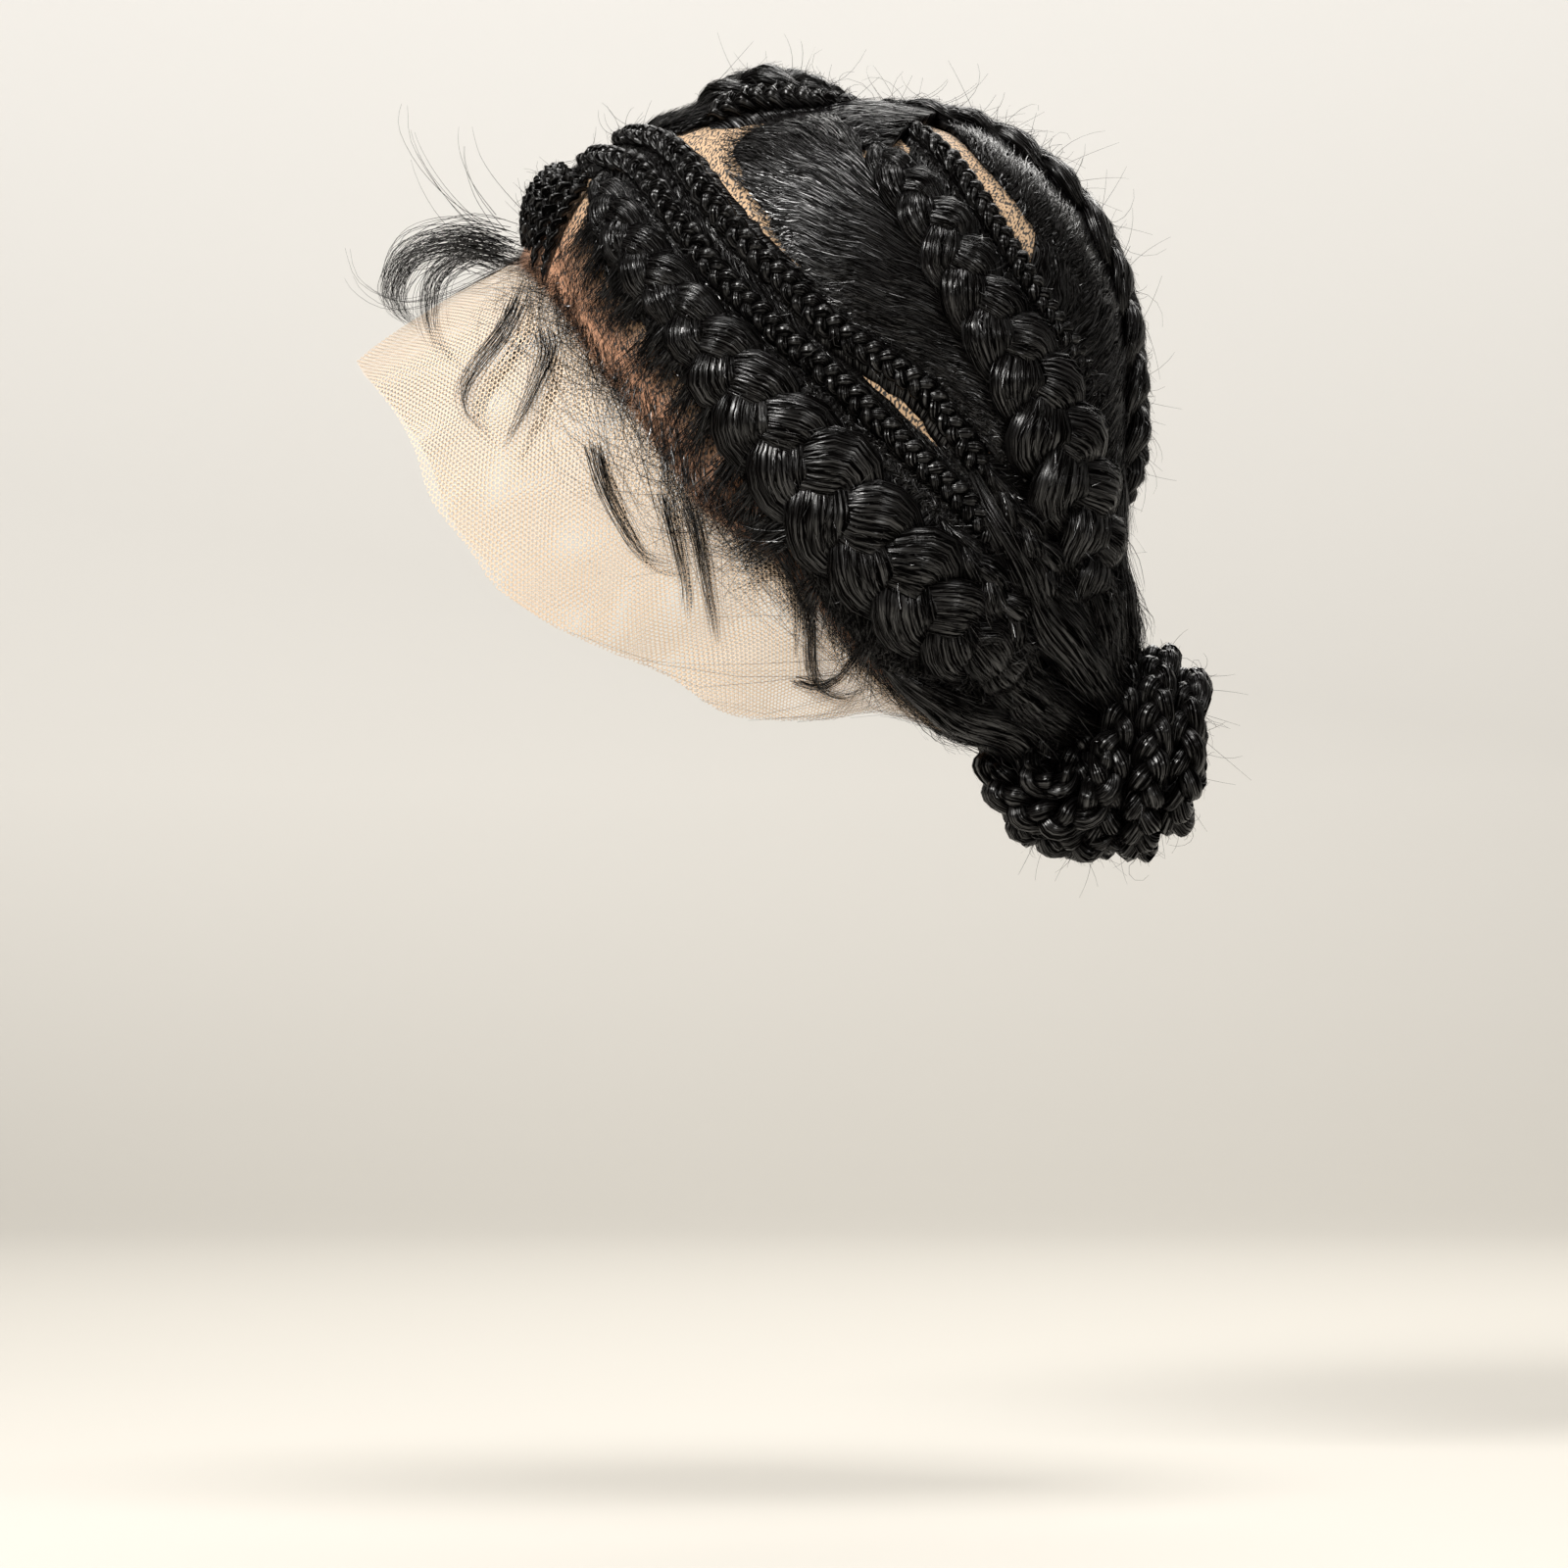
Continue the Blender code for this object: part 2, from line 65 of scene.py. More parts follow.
Colour = tuple[float, float, float]
Feed = bpy.types.NodeSocket | tuple[float, ...] | float

# Braid routes, front to back: shares of half width, half length and height,
# then shares of the braid's half width and height
FRONT_ROUTE: Rows = (
    (0.56, -0.64, 0.71, 0.34, 0.62), (0.84, -0.52, 0.44, 0.48, 0.85),
    (0.96, -0.34, 0.19, 0.57, 0.95), (1.00, -0.13, -0.10, 0.84, 1.02),
    (0.97, 0.11, -0.32, 1.00, 1.10), (0.88, 0.32, -0.51, 0.95, 1.10),
    (0.77, 0.46, -0.61, 0.80, 1.05), (0.66, 0.56, -0.66, 0.62, 0.95),
    (0.55, 0.64, -0.70, 0.46, 0.80),
)
REAR_ROUTE: Rows = (
    (0.66, 0.22, 0.81, 0.36, 0.55), (0.77, 0.29, 0.70, 0.46, 0.75),
    (0.86, 0.44, 0.47, 0.56, 0.90), (0.87, 0.57, 0.22, 0.66, 0.95),
    (0.78, 0.72, -0.03, 0.82, 1.00), (0.71, 0.78, -0.14, 0.90, 1.05),
    (0.62, 0.83, -0.26, 0.90, 1.10), (0.50, 0.86, -0.38, 0.80, 1.15),
    (0.41, 0.86, -0.49, 0.68, 1.15), (0.33, 0.84, -0.58, 0.50, 1.05),
)
CENTRE_ROUTE: Rows = (
    (0.00, 0.22, 0.98, 0.42, 0.50), (0.00, 0.45, 0.93, 0.60, 0.72),
    (0.00, 0.66, 0.80, 0.72, 0.88), (0.00, 0.85, 0.58, 0.76, 0.92),
    (0.00, 0.96, 0.30, 0.76, 0.95), (0.00, 1.00, 0.04, 0.72, 1.00),
    (0.00, 0.99, -0.14, 0.62, 1.05), (0.00, 0.97, -0.28, 0.42, 0.95),
)
CROWN_ROUTE: Rows = (
    (0.00, -0.34, 0.97, 0.80, 0.75), (0.00, -0.24, 0.98, 0.86, 1.15),
    (0.00, -0.10, 0.99, 0.72, 1.25), (0.00, 0.04, 1.00, 0.55, 0.98),
    (0.00, 0.17, 0.99, 0.38, 0.62),
)
LOWER_ROW: Rows = (
    (0.07, -0.70, 0.81, 0.80, 0.90), (0.33, -0.66, 0.80, 0.95, 1.00),
    (0.59, -0.535, 0.755, 0.95, 1.00), (0.83, -0.405, 0.565, 0.95, 1.00),
    (0.93, -0.29, 0.39, 1.00, 1.00), (0.99, -0.10, 0.18, 1.00, 1.00),
    (1.00, 0.06, 0.03, 1.00, 1.00), (0.99, 0.18, -0.06, 1.00, 1.00),
    (0.96, 0.35, -0.19, 1.00, 1.00), (0.90, 0.49, -0.29, 1.00, 1.00),
    (0.85, 0.59, -0.38, 0.95, 1.00), (0.76, 0.68, -0.49, 0.85, 0.90),
    (0.66, 0.74, -0.57, 0.70, 0.80),
)
UPPER_ROW: Rows = (
    (0.07, -0.59, 0.88, 0.80, 0.90), (0.32, -0.54, 0.87, 0.95, 1.00),
    (0.56, -0.43, 0.82, 0.95, 1.00), (0.78, -0.33, 0.68, 1.00, 1.00),
    (0.89, -0.23, 0.53, 1.00, 1.00), (0.96, -0.10, 0.38, 1.00, 1.00),
    (0.99, 0.10, 0.17, 1.00, 1.00), (0.96, 0.37, -0.02, 1.00, 1.00),
    (0.93, 0.46, -0.11, 1.00, 1.00), (0.87, 0.57, -0.23, 0.90, 0.90),
)
BACK_ROW: Rows = (
    (0.46, 0.32, 0.90, 0.70, 0.90), (0.59, 0.43, 0.80, 0.90, 1.00),
    (0.69, 0.52, 0.67, 0.95, 1.00), (0.74, 0.60, 0.53, 0.95, 1.00),
    (0.74, 0.70, 0.35, 0.95, 1.00), (0.70, 0.78, 0.22, 0.95, 1.00),
    (0.61, 0.85, 0.09, 0.90, 1.00), (0.52, 0.91, -0.02, 0.80, 0.90),
    (0.42, 0.94, -0.12, 0.65, 0.80),
)
CROWN_ROW: Rows = (
    (0.42, -0.31, 0.93, 0.80, 1.10), (0.37, -0.18, 0.96, 1.00, 1.70),
    (0.32, -0.05, 0.98, 1.00, 1.60), (0.26, 0.07, 0.99, 0.95, 1.20),
    (0.20, 0.19, 0.99, 0.80, 0.90),
)
FOREHEAD_ROWS: Rows = (
    (0.00, -0.93, 0.54, 0.00, -0.755, 0.78), (0.13, -0.925, 0.53, 0.13, -0.755, 0.78),
    (0.26, -0.905, 0.50, 0.25, -0.75, 0.77), (0.39, -0.87, 0.47, 0.37, -0.735, 0.75),
)

# Edges of the combed hair, as shares across, along and up
PANEL_EDGE: Rows = (
    (0.30, 0.17, 0.965), (0.38, 0.00, 0.955), (0.48, -0.13, 0.91),
    (0.61, -0.22, 0.83), (0.75, -0.205, 0.72), (0.83, -0.155, 0.635),
    (0.915, -0.085, 0.49), (0.96, -0.01, 0.38), (0.98, 0.06, 0.29),
    (0.99, 0.15, 0.20), (0.985, 0.27, 0.12), (0.955, 0.41, 0.00),
    (0.91, 0.52, -0.10), (0.83, 0.635, -0.225),
)
BACK_EDGE: Rows = (
    (0.36, 0.50, 0.86), (0.50, 0.57, 0.78), (0.58, 0.68, 0.65),
    (0.60, 0.76, 0.53), (0.55, 0.85, 0.38), (0.48, 0.91, 0.25),
    (0.40, 0.96, 0.12),
)
CROWN_EDGE: Rows = (
    (0.46, -0.47, 0.86), (0.34, -0.51, 0.89), (0.18, -0.54, 0.92), (0.00, -0.545, 0.93),
)
CROWN_END: Rows = (
    (0.36, -0.22, 0.945), (0.25, -0.27, 0.955), (0.13, -0.30, 0.965), (0.00, -0.31, 0.97),
)
TOP_START: Rows = (
    (0.66, 0.14, 0.83), (0.50, 0.09, 0.92), (0.34, 0.07, 0.96), (0.17, 0.08, 0.985),
    (0.00, 0.09, 0.99),
)
TOP_END: Rows = (
    (0.63, 0.27, 0.82), (0.46, 0.33, 0.885), (0.30, 0.38, 0.92), (0.15, 0.40, 0.94),
    (0.00, 0.41, 0.945),
)
BROW_EDGE: Rows = (
    (0.50, -0.86, 0.40), (0.36, -0.895, 0.44), (0.18, -0.93, 0.475), (0.00, -0.955, 0.489),
)
BROW_END: Rows = (
    (0.52, -0.66, 0.74), (0.36, -0.69, 0.79), (0.18, -0.695, 0.82), (0.00, -0.70, 0.825),
)
UNDER_TOP: Rows = ((0.42, 0.90, -0.16), (0.22, 0.96, -0.18), (0.00, 0.985, -0.18))
UNDER_END: Rows = ((0.40, 0.83, -0.58), (0.20, 0.87, -0.61), (0.00, 0.88, -0.62))
NAPE_TOP: Rows = ((0.30, 0.79, -0.66), (0.16, 0.83, -0.65), (0.00, 0.845, -0.64))
NAPE_EDGE: Rows = ((0.31, 0.575, -0.825), (0.16, 0.62, -0.83), (0.00, 0.635, -0.83))

# Edge of the hair on the lace from the forehead to the nape, then the cut edge
# of the lace and its bow. Past 1 in front, the lace's share along is of its
# reach beyond the head form
EDGES: Rows = (
    (0.00, -0.955, 0.489, 0.00, -2.000, 0.105, 0.030),
    (0.30, -0.910, 0.450, 0.36, -1.884, 0.020, 0.034),
    (0.51, -0.860, 0.400, 0.60, -1.711, -0.060, 0.036),
    (0.69, -0.770, 0.280, 0.78, -1.539, -0.165, 0.036),
    (0.80, -0.690, 0.130, 0.85, -1.409, -0.300, 0.034),
    (0.89, -0.560, -0.040, 0.89, -1.129, -0.430, 0.030),
    (0.93, -0.440, -0.160, 0.88, -0.885, -0.570, 0.030),
    (0.95, -0.340, -0.280, 0.83, -0.672, -0.648, 0.028),
    (0.96, -0.190, -0.360, 0.77, -0.444, -0.728, 0.018),
    (0.94, -0.060, -0.430, 0.72, -0.228, -0.822, 0.014),
    (0.86, 0.120, -0.600, 0.67, 0.050, -0.832, 0.010),
    (0.78, 0.230, -0.700, 0.65, 0.250, -0.815, 0.012),
    (0.60, 0.410, -0.800, 0.56, 0.415, -0.852, 0.006),
    (0.30, 0.570, -0.850, 0.29, 0.570, -0.890, 0.004),
    (0.00, 0.620, -0.850, 0.00, 0.615, -0.890, 0.004),
)

# Fine twisted rows at the temple, with no solid of their own: as the forehead rows
TEMPLE_ROWS: Rows = (
    (0.49, -0.868, 0.41, 0.41, -0.725, 0.76), (0.58, -0.83, 0.355, 0.475, -0.695, 0.745),
)

# Loose locks gathered into the bun: places out, back and up from the crown seat in
# millimetres, then shares of half width and thickness
LOCKS: tuple[Rows, ...] = (
    ((63, 30, -144, 0.15, 0.3), (56, 50, -168, 1.0, 1.0), (46, 66, -186, 1.0, 1.1),
     (34, 82, -197, 0.8, 1.0), (20, 94, -203, 0.5, 0.8)),
    ((55, 24, -178, 0.25, 0.5), (49, 40, -190, 0.7, 0.8), (39, 58, -201, 0.9, 1.0),
     (28, 74, -209, 0.8, 1.0), (17, 86, -213, 0.5, 0.8)),
    ((67, 52, -118, 0.12, 0.3), (60, 68, -146, 0.9, 0.9), (49, 80, -168, 1.0, 1.1),
     (35, 93, -185, 0.9, 1.1), (22, 101, -196, 0.6, 0.9)),
    ((47, 82, -134, 0.2, 0.3), (36, 94, -160, 0.9, 1.0), (27, 98, -178, 0.9, 1.1),
     (17, 102, -190, 0.7, 1.0)),
    ((65, 40, -150, 0.12, 0.3), (53, 58, -176, 0.9, 1.0), (42, 72, -191, 1.0, 1.1),
     (28, 86, -202, 0.8, 1.0)),
    ((14, 103, -138, 0.3, 0.3), (12, 104, -160, 1.0, 1.0), (8, 105, -180, 0.9, 1.1),
     (5, 108, -190, 0.6, 0.9)),
)

# Loose twisted strands from the rows' ends to the bun, laid out as the braid routes
NAPE_STRANDS: tuple[Rows, ...] = (
    ((0.93, 0.42, -0.33, 0.30, 0.40), (0.86, 0.53, -0.44, 0.80, 0.80),
     (0.76, 0.62, -0.55, 1.00, 1.00), (0.63, 0.69, -0.65, 1.00, 1.00),
     (0.48, 0.73, -0.73, 0.70, 0.90)),
    ((0.89, 0.55, -0.19, 0.40, 0.50), (0.83, 0.65, -0.31, 0.70, 0.80),
     (0.73, 0.73, -0.43, 1.00, 1.00), (0.60, 0.79, -0.55, 1.00, 1.00),
     (0.46, 0.82, -0.64, 0.80, 0.90), (0.34, 0.81, -0.70, 0.50, 0.80)),
    ((0.78, 0.72, -0.20, 0.30, 0.40), (0.67, 0.80, -0.34, 0.70, 0.80),
     (0.55, 0.835, -0.47, 0.90, 0.90), (0.43, 0.85, -0.58, 0.90, 1.00),
     (0.30, 0.845, -0.66, 0.70, 0.90)),
    ((0.64, 0.55, -0.73, 0.30, 0.40), (0.51, 0.65, -0.76, 0.90, 0.80),
     (0.37, 0.72, -0.78, 1.00, 1.00), (0.22, 0.77, -0.79, 0.80, 1.00)),
)

# Cords of plaited hair laid over the bun's sides, as the locks' places
LOOPS: tuple[Rows, ...] = (
    ((15, 64, -203), (23, 64, -217), (26, 72, -229), (27, 86, -233), (30, 97, -224),
     (31, 97, -209)),
    ((28, 86, -204), (30, 77, -208), (30, 74, -217), (31, 82, -223), (32, 89, -216)),
    ((10, 70, -222), (13, 74, -233), (14, 88, -239), (16, 104, -240)),
)

# Coils of the bun: place back as a share of its depth, drop and ring radius as
# shares of its radius, tilt in degrees
COILS: Rows = (
    (-1.96, 0.36, 0.36, 8.0), (-1.00, 0.19, 0.64, -4.0), (-0.05, 0.00, 0.82, 9.0),
    (0.92, 0.02, 0.82, 8.0), (1.78, 0.03, 0.60, 7.0), (1.90, 0.03, 0.225, 0.0),
)

# Curls of baby hair: places back and up from the crown seat in millimetres,
# from root to tip, then hairs in the curl and its spread in millimetres
CURLS: tuple[tuple[tuple[tuple[float, float], ...], int, float], ...] = (
    (((-99, -45), (-113, -41), (-129, -45), (-136, -55), (-135, -63), (-129, -69)), 62, 5.0),
    (((-97, -47), (-110, -45), (-121, -52), (-124, -63), (-121, -76), (-112, -84)), 34, 4.6),
    (((-92, -62), (-97, -74), (-106, -86), (-110, -94), (-109, -102), (-103, -108)), 34, 3.2),
    (((-84, -75), (-83, -83), (-88, -95), (-93, -105), (-97, -113)), 30, 3.0),
    (((-68, -112), (-64, -126), (-58, -138), (-51, -148), (-40, -151)), 34, 2.6),
    (((-45, -128), (-42, -142), (-39, -156), (-39, -167)), 26, 2.4),
    (((-38, -129), (-34, -143), (-32, -155), (-30, -167), (-29, -176)), 30, 2.6),
    (((-24, -132), (-12, -142), (-5, -152), (-2, -165), (-3, -180)), 30, 2.8),
    (((-10, -144), (-2, -157), (2, -169), (3, -186), (8, -192), (15, -193), (22, -189)), 34, 2.4),
    (((-3, -187), (6, -189), (14, -184), (18, -174), (13, -166)), 18, 2.0),
    (((-96, -44), (-110, -36), (-123, -22), (-131, -6), (-130, 6)), 3, 6.0),
    (((-97, -50), (-116, -60), (-134, -64), (-148, -56), (-152, -42)), 3, 5.0),
    (((-95, -40), (-106, -26), (-112, -12), (-112, 2)), 2, 6.0),
)


class Hand(Enum):
    """Side of the wig that a piece is on."""

    LEFT = 1
    RIGHT = -1
    MIDDLE = 0


SIDES = ((Hand.LEFT, "left"), (Hand.RIGHT, "right"))


@dataclass(frozen=True)
class HeadForm:
    """Rounded form that the dome is shaped to, with the crown seat at the origin."""

    half_width: float = 0.075
    half_length: float = 0.101
    crown_rise: float = 0.0915
    nape_drop: float = 0.130
    roundness: float = 2.4

    def place(self, shares: np.ndarray) -> tuple[np.ndarray, np.ndarray]:
        """Points of the form in the directions of some shares.

        Args:
            shares: shares across, along and up, in the last axis.

        Returns:
            The points and their outward normals.
        """
        size = (np.abs(shares) ** self.roundness).sum(-1, keepdims=True)
        unit = shares / size ** (1.0 / self.roundness)
        rise = np.where(unit[..., 2] >= 0.0, self.crown_rise, self.nape_drop)
        spans = np.stack([
            np.full_like(rise, self.half_width), np.full_like(rise, self.half_length), rise,
        ], -1)
        points = unit * spans
        points[..., 2] -= self.crown_rise
        normals = np.sign(unit) * np.abs(unit) ** (self.roundness - 1.0) / spans
        return points, normals / np.linalg.norm(normals, axis=-1, keepdims=True)

    def project(self, points: np.ndarray) -> tuple[np.ndarray, np.ndarray]:
        """Points of the form beside some points in space.

        Args:
            points: places in space, in the last axis.

        Returns:
            The form's points and their outward normals.
        """
        up = points[..., 2] + self.crown_rise
        rise = np.where(up >= 0.0, self.crown_rise, self.nape_drop)
        shares = np.stack([
            points[..., 0] / self.half_width, points[..., 1] / self.half_length, up / rise,
        ], -1)
        return self.place(shares)

    def lift(self, points: np.ndarray, heights: np.ndarray | float) -> np.ndarray:
        """Points at some heights above the form.

        Args:
            points: places in space near the form.
            heights: heights above the form in metres.

        Returns:
            The lifted points.
        """
        base, normals = self.project(points)
        return base + normals * np.broadcast_to(np.asarray(heights), base.shape[:-1])[..., None]


HEAD = HeadForm()
LACE_TOP = 0.0012


def smooth_rows(table: Rows, count: int) -> np.ndarray:
    """Rows of a table joined by a smooth curve.

    Args:
        table: rows of numbers, all of one length.
        count: how many rows to return.

    Returns:
        The rows at even shares of the table.
    """
    rows = np.asarray(table, dtype=float)
    last = len(rows) - 1
    place = np.linspace(0.0, last, count)
    index = np.minimum(place.astype(int), last - 1)
    t = (place - index)[:, None]
    p0, p1, p2, p3 = (rows[np.clip(index + k, 0, last)] for k in (-1, 0, 1, 2))
    bend = 2 * p0 - 5 * p1 + 4 * p2 - p3
    turn = -p0 + 3 * p1 - 3 * p2 + p3
    return 0.5 * (2 * p1 + (p2 - p0) * t + bend * t * t + turn * t ** 3)


def between(share: np.ndarray, rows: np.ndarray) -> np.ndarray:
    """Rows at some shares of a table, joined by straight lines."""
    knots = np.linspace(0.0, 1.0, len(rows))
    return np.stack([np.interp(share, knots, rows[:, k]) for k in range(rows.shape[1])], -1)


def unit(vectors: np.ndarray) -> np.ndarray:
    """Vectors scaled to a length of one."""
    return vectors / np.maximum(np.linalg.norm(vectors, axis=-1, keepdims=True), 1e-12)


def ripple(values: np.ndarray, seed: float, waves: int = 4) -> np.ndarray:
    """Smooth uneven wave between about -1 and 1.

    Args:
        values: phase of the wave at each place.
        seed: number that sets the wave's shape.
        waves: how many sine waves are added.

    Returns:
        The wave's height at each place.
    """
    total = np.zeros_like(values)
    for k in range(1, waves + 1):
        total = total + np.sin(values * (k * 0.83 + 0.31) + seed * (k * 1.7 + 0.9)) / waves ** 0.5
    return total


class Route:
    """Path over the head form, with half width and height along it."""

    def __init__(self, table: Rows, half_width: float, height: float) -> None:
        """Lay the path out.

        Args:
            table: rows of three shares on the form, then shares of width and height.
            half_width: widest half width in metres.
            height: tallest height in metres.
        """
        rows = smooth_rows(table, 900)
        self.points, self.normals = HEAD.place(rows[:, :3])
        steps = np.linalg.norm(np.diff(self.points, axis=0), axis=1)
        self.run = np.concatenate([[0.0], np.cumsum(steps)])
        self.length = float(self.run[-1])
        self.sides = unit(np.cross(np.gradient(self.points, axis=0), self.normals))
        self.half = half_width * rows[:, 3]
        self.tall = height * rows[:, 4]

    def read(self, values: np.ndarray, run: np.ndarray) -> np.ndarray:
        """Values along the path at some distances, joined smoothly.

        Args:
            values: values at the path's own points, alone or as rows.
            run: distances along the path.

        Returns:
            The values at those distances.
        """
        if values.ndim == 1:
            return np.interp(run, self.run, values)
        columns = [np.interp(run, self.run, values[:, k]) for k in range(values.shape[1])]
        return np.stack(columns, -1)

    def at(self, run: np.ndarray, across: np.ndarray, up: np.ndarray) -> np.ndarray:
        """Places beside the path.

        Args:
            run: distances along the path.
            across: distances to its side.
            up: heights above the lace.

        Returns:
            The places in space.
        """
        inside = np.clip(run, 0.0, self.length)
        points = self.read(self.points, inside) + self.read(self.sides, inside) * across[..., None]
        ahead = self.points[-1] - self.points[-4]
        behind = self.points[3] - self.points[0]
        points = points + unit(ahead) * np.maximum(run - self.length, 0.0)[..., None]
        points = points + unit(behind) * np.minimum(run, 0.0)[..., None]
        return HEAD.lift(points, LACE_TOP + up)


class CurveRoute(Route):
    """Curve in space that a cord of the bun follows."""

    def __init__(self, points: np.ndarray, normals: np.ndarray, cord: float,
                 closed: bool = False) -> None:
        """Lay the curve out.

        Args:
            points: places along the cord's middle line.
            normals: outward directions there.
            cord: radius of the cord.
            closed: whether the curve is a ring.
        """
        self.points, self.normals, self.closed = points, normals, closed
        steps = np.linalg.norm(np.diff(points, axis=0), axis=1)
        self.run = np.concatenate([[0.0], np.cumsum(steps)])
        self.length = float(self.run[-1])
        self.sides = unit(np.cross(np.gradient(points, axis=0), normals))
        self.half = np.full(len(points), cord)
        self.tall = np.full(len(points), cord * 2.0)

    def at(self, run: np.ndarray, across: np.ndarray, up: np.ndarray) -> np.ndarray:
        """Places around the middle line; up is measured from the cord's underside.

        Args:
            run: distances along the cord.
            across: distances to the side of the middle line.
            up: heights above the cord's underside.

        Returns:
            The places.
        """
        inside = np.mod(run, self.length) if self.closed else np.clip(run, 0.0, self.length)
        lift = (up - self.half[0])[..., None]
        points = self.read(self.points, inside)
        points = points + self.read(self.sides, inside) * across[..., None]
        return points + self.read(self.normals, inside) * lift


def coil_route(centre: Vector, radius: float, tilt: float, cord: float) -> CurveRoute:
    """Ring that a cord of the bun follows.

    Args:
        centre: middle of the ring.
        radius: radius of the cord's middle line.
        tilt: turn of the ring about the wig's width, in degrees.
        cord: radius of the cord.

    Returns:
        The ring.
    """
    turn = np.linspace(0.0, 2.0 * math.pi, 721)
    wander = 1.0 + 0.035 * np.sin(2.0 * turn + tilt) + 0.025 * np.sin(3.0 * turn + 2.0 * tilt)
    out = np.stack([np.sin(turn), np.zeros_like(turn), np.cos(turn)], -1)
    points = out * (radius * wander)[:, None]
    points[:, 1] += math.tan(math.radians(tilt)) * np.cos(turn) * radius
    points[:, 1] += 0.0008 * np.sin(4.0 * turn + tilt)
    return CurveRoute(points + np.array(centre), out, cord, closed=True)


@dataclass
class Patch:
    """Grid of points with its place in the pattern, in metres along and across the hair."""

    points: np.ndarray
    uv: np.ndarray


def patch_mesh(name: str, patches: list[Patch], hand: Hand, weld: bool = True) -> bpy.types.Object:
    """Object made of grids that are moved onto their points.

    Args:
        name: name of the piece.
        patches: grids of the piece.
        hand: side of the wig; the right side mirrors the left.
        weld: whether the seams of tubes are joined and normals turned outwards.

    Returns:
        The new object.
    """
    bm = bmesh.new()
    bm.loops.layers.uv.new("hair")
    for patch in patches:
        rows, columns = patch.points.shape[:2]
        bmesh.ops.create_grid(bm, x_segments=rows - 1, y_segments=columns - 1, size=1.0)
    mesh = bpy.data.meshes.new(name)
    bm.to_mesh(mesh)
    bm.free()
    places = np.concatenate([p.points.transpose(1, 0, 2).reshape(-1, 3) for p in patches])
    if hand is Hand.RIGHT:
        places = places * np.array([-1.0, 1.0, 1.0])
    mesh.vertices.foreach_set("co", places.astype(np.float32).ravel())
    uvs = np.concatenate([p.uv.transpose(1, 0, 2).reshape(-1, 2) for p in patches])
    index = np.empty(len(mesh.loops), dtype=np.int32)
    mesh.loops.foreach_get("vertex_index", index)
    mesh.uv_layers[0].data.foreach_set("uv", uvs[index].astype(np.float32).ravel())
    bm = bmesh.new()
    bm.from_mesh(mesh)
    if weld:
        bmesh.ops.remove_doubles(bm, verts=bm.verts, dist=2e-6)
        bmesh.ops.recalc_face_normals(bm, faces=bm.faces)
    elif hand is Hand.RIGHT:
        bmesh.ops.reverse_faces(bm, faces=bm.faces)
    bm.to_mesh(mesh)
    bm.free()
    mesh.shade_smooth()
    return put(name, mesh)


def put(name: str, mesh: bpy.types.Mesh) -> bpy.types.Object:
    """Object at the origin that shows a mesh.

    Args:
        name: name of the object.
        mesh: the mesh.

    Returns:
        The object.
    """
    item = bpy.data.objects.new(name, mesh)
    bpy.context.scene.collection.objects.link(item)
    return item


def ribbon_mesh(name: str, paths: np.ndarray, widths: np.ndarray, leans: np.ndarray,
                hand: Hand) -> bpy.types.Object:
    """Object of many flat hairs that lie on a surface.

    Args:
        name: name of the piece.
        paths: hairs by places along each by space.
        widths: half width of each hair at each place.
        leans: direction that each place of a hair faces.
        hand: side of the wig; the right side mirrors the left.

    Returns:
        The new object.
    """
    if hand is Hand.RIGHT:
        flip = np.array([-1.0, 1.0, 1.0])
        paths, leans = paths * flip, leans * flip
    hairs, steps = paths.shape[:2]
    across = unit(np.cross(np.gradient(paths, axis=1), leans)) * widths[..., None]
    corners = np.stack([paths - across, paths + across], axis=2).reshape(-1, 3)
    base = (np.arange(hairs) * steps * 2)[:, None] + (np.arange(steps - 1) * 2)[None, :]
    faces = np.stack([base, base + 1, base + 3, base + 2], -1).reshape(-1, 4)
    uv = np.empty((hairs, steps, 2, 2))
    uv[..., 0] = ((np.arange(hairs) + 0.5) / hairs)[:, None, None]
    uv[..., 1] = np.linspace(0.0, 1.0, steps)[None, :, None]
    return hair_object(name, corners, faces, uv.reshape(-1, 2))


def tube_mesh(name: str, paths: np.ndarray, widths: np.ndarray, hand: Hand) -> bpy.types.Object:
    """Object of many three-sided hairs that stand free.

    Args:
        name: name of the piece.
        paths: hairs by places along each by space.
        widths: half width of each hair at each place.
        hand: side of the wig; the right side mirrors the left.

    Returns:
        The new object.
    """
    if hand is Hand.RIGHT:
        paths = paths * np.array([-1.0, 1.0, 1.0])
    hairs, steps = paths.shape[:2]
    along = unit(np.gradient(paths, axis=1))
    guide = unit(np.array([0.31, 0.57, 0.76]) + 0.0 * along)
    first = unit(np.cross(along, guide))
    second = np.cross(along, first)
    turns = 2.0 * math.pi * np.arange(3) / 3.0
    ring = first[:, :, None] * np.cos(turns)[:, None] + second[:, :, None] * np.sin(turns)[:, None]
    corners = (paths[:, :, None] + ring * widths[:, :, None, None]).reshape(-1, 3)
    base = ((np.arange(hairs) * steps)[:, None] + np.arange(steps - 1)[None, :])[..., None] * 3
    side = np.arange(3)
    after = (side + 1) % 3
    faces = np.stack([base + side, base + after, base + 3 + after, base + 3 + side], -1)
    uv = np.empty((hairs, steps, 3, 2))
    uv[..., 0] = ((np.arange(hairs) + 0.5) / hairs)[:, None, None]
    uv[..., 1] = np.linspace(0.0, 1.0, steps)[None, :, None]
    return hair_object(name, corners, faces.reshape(-1, 4), uv.reshape(-1, 2))


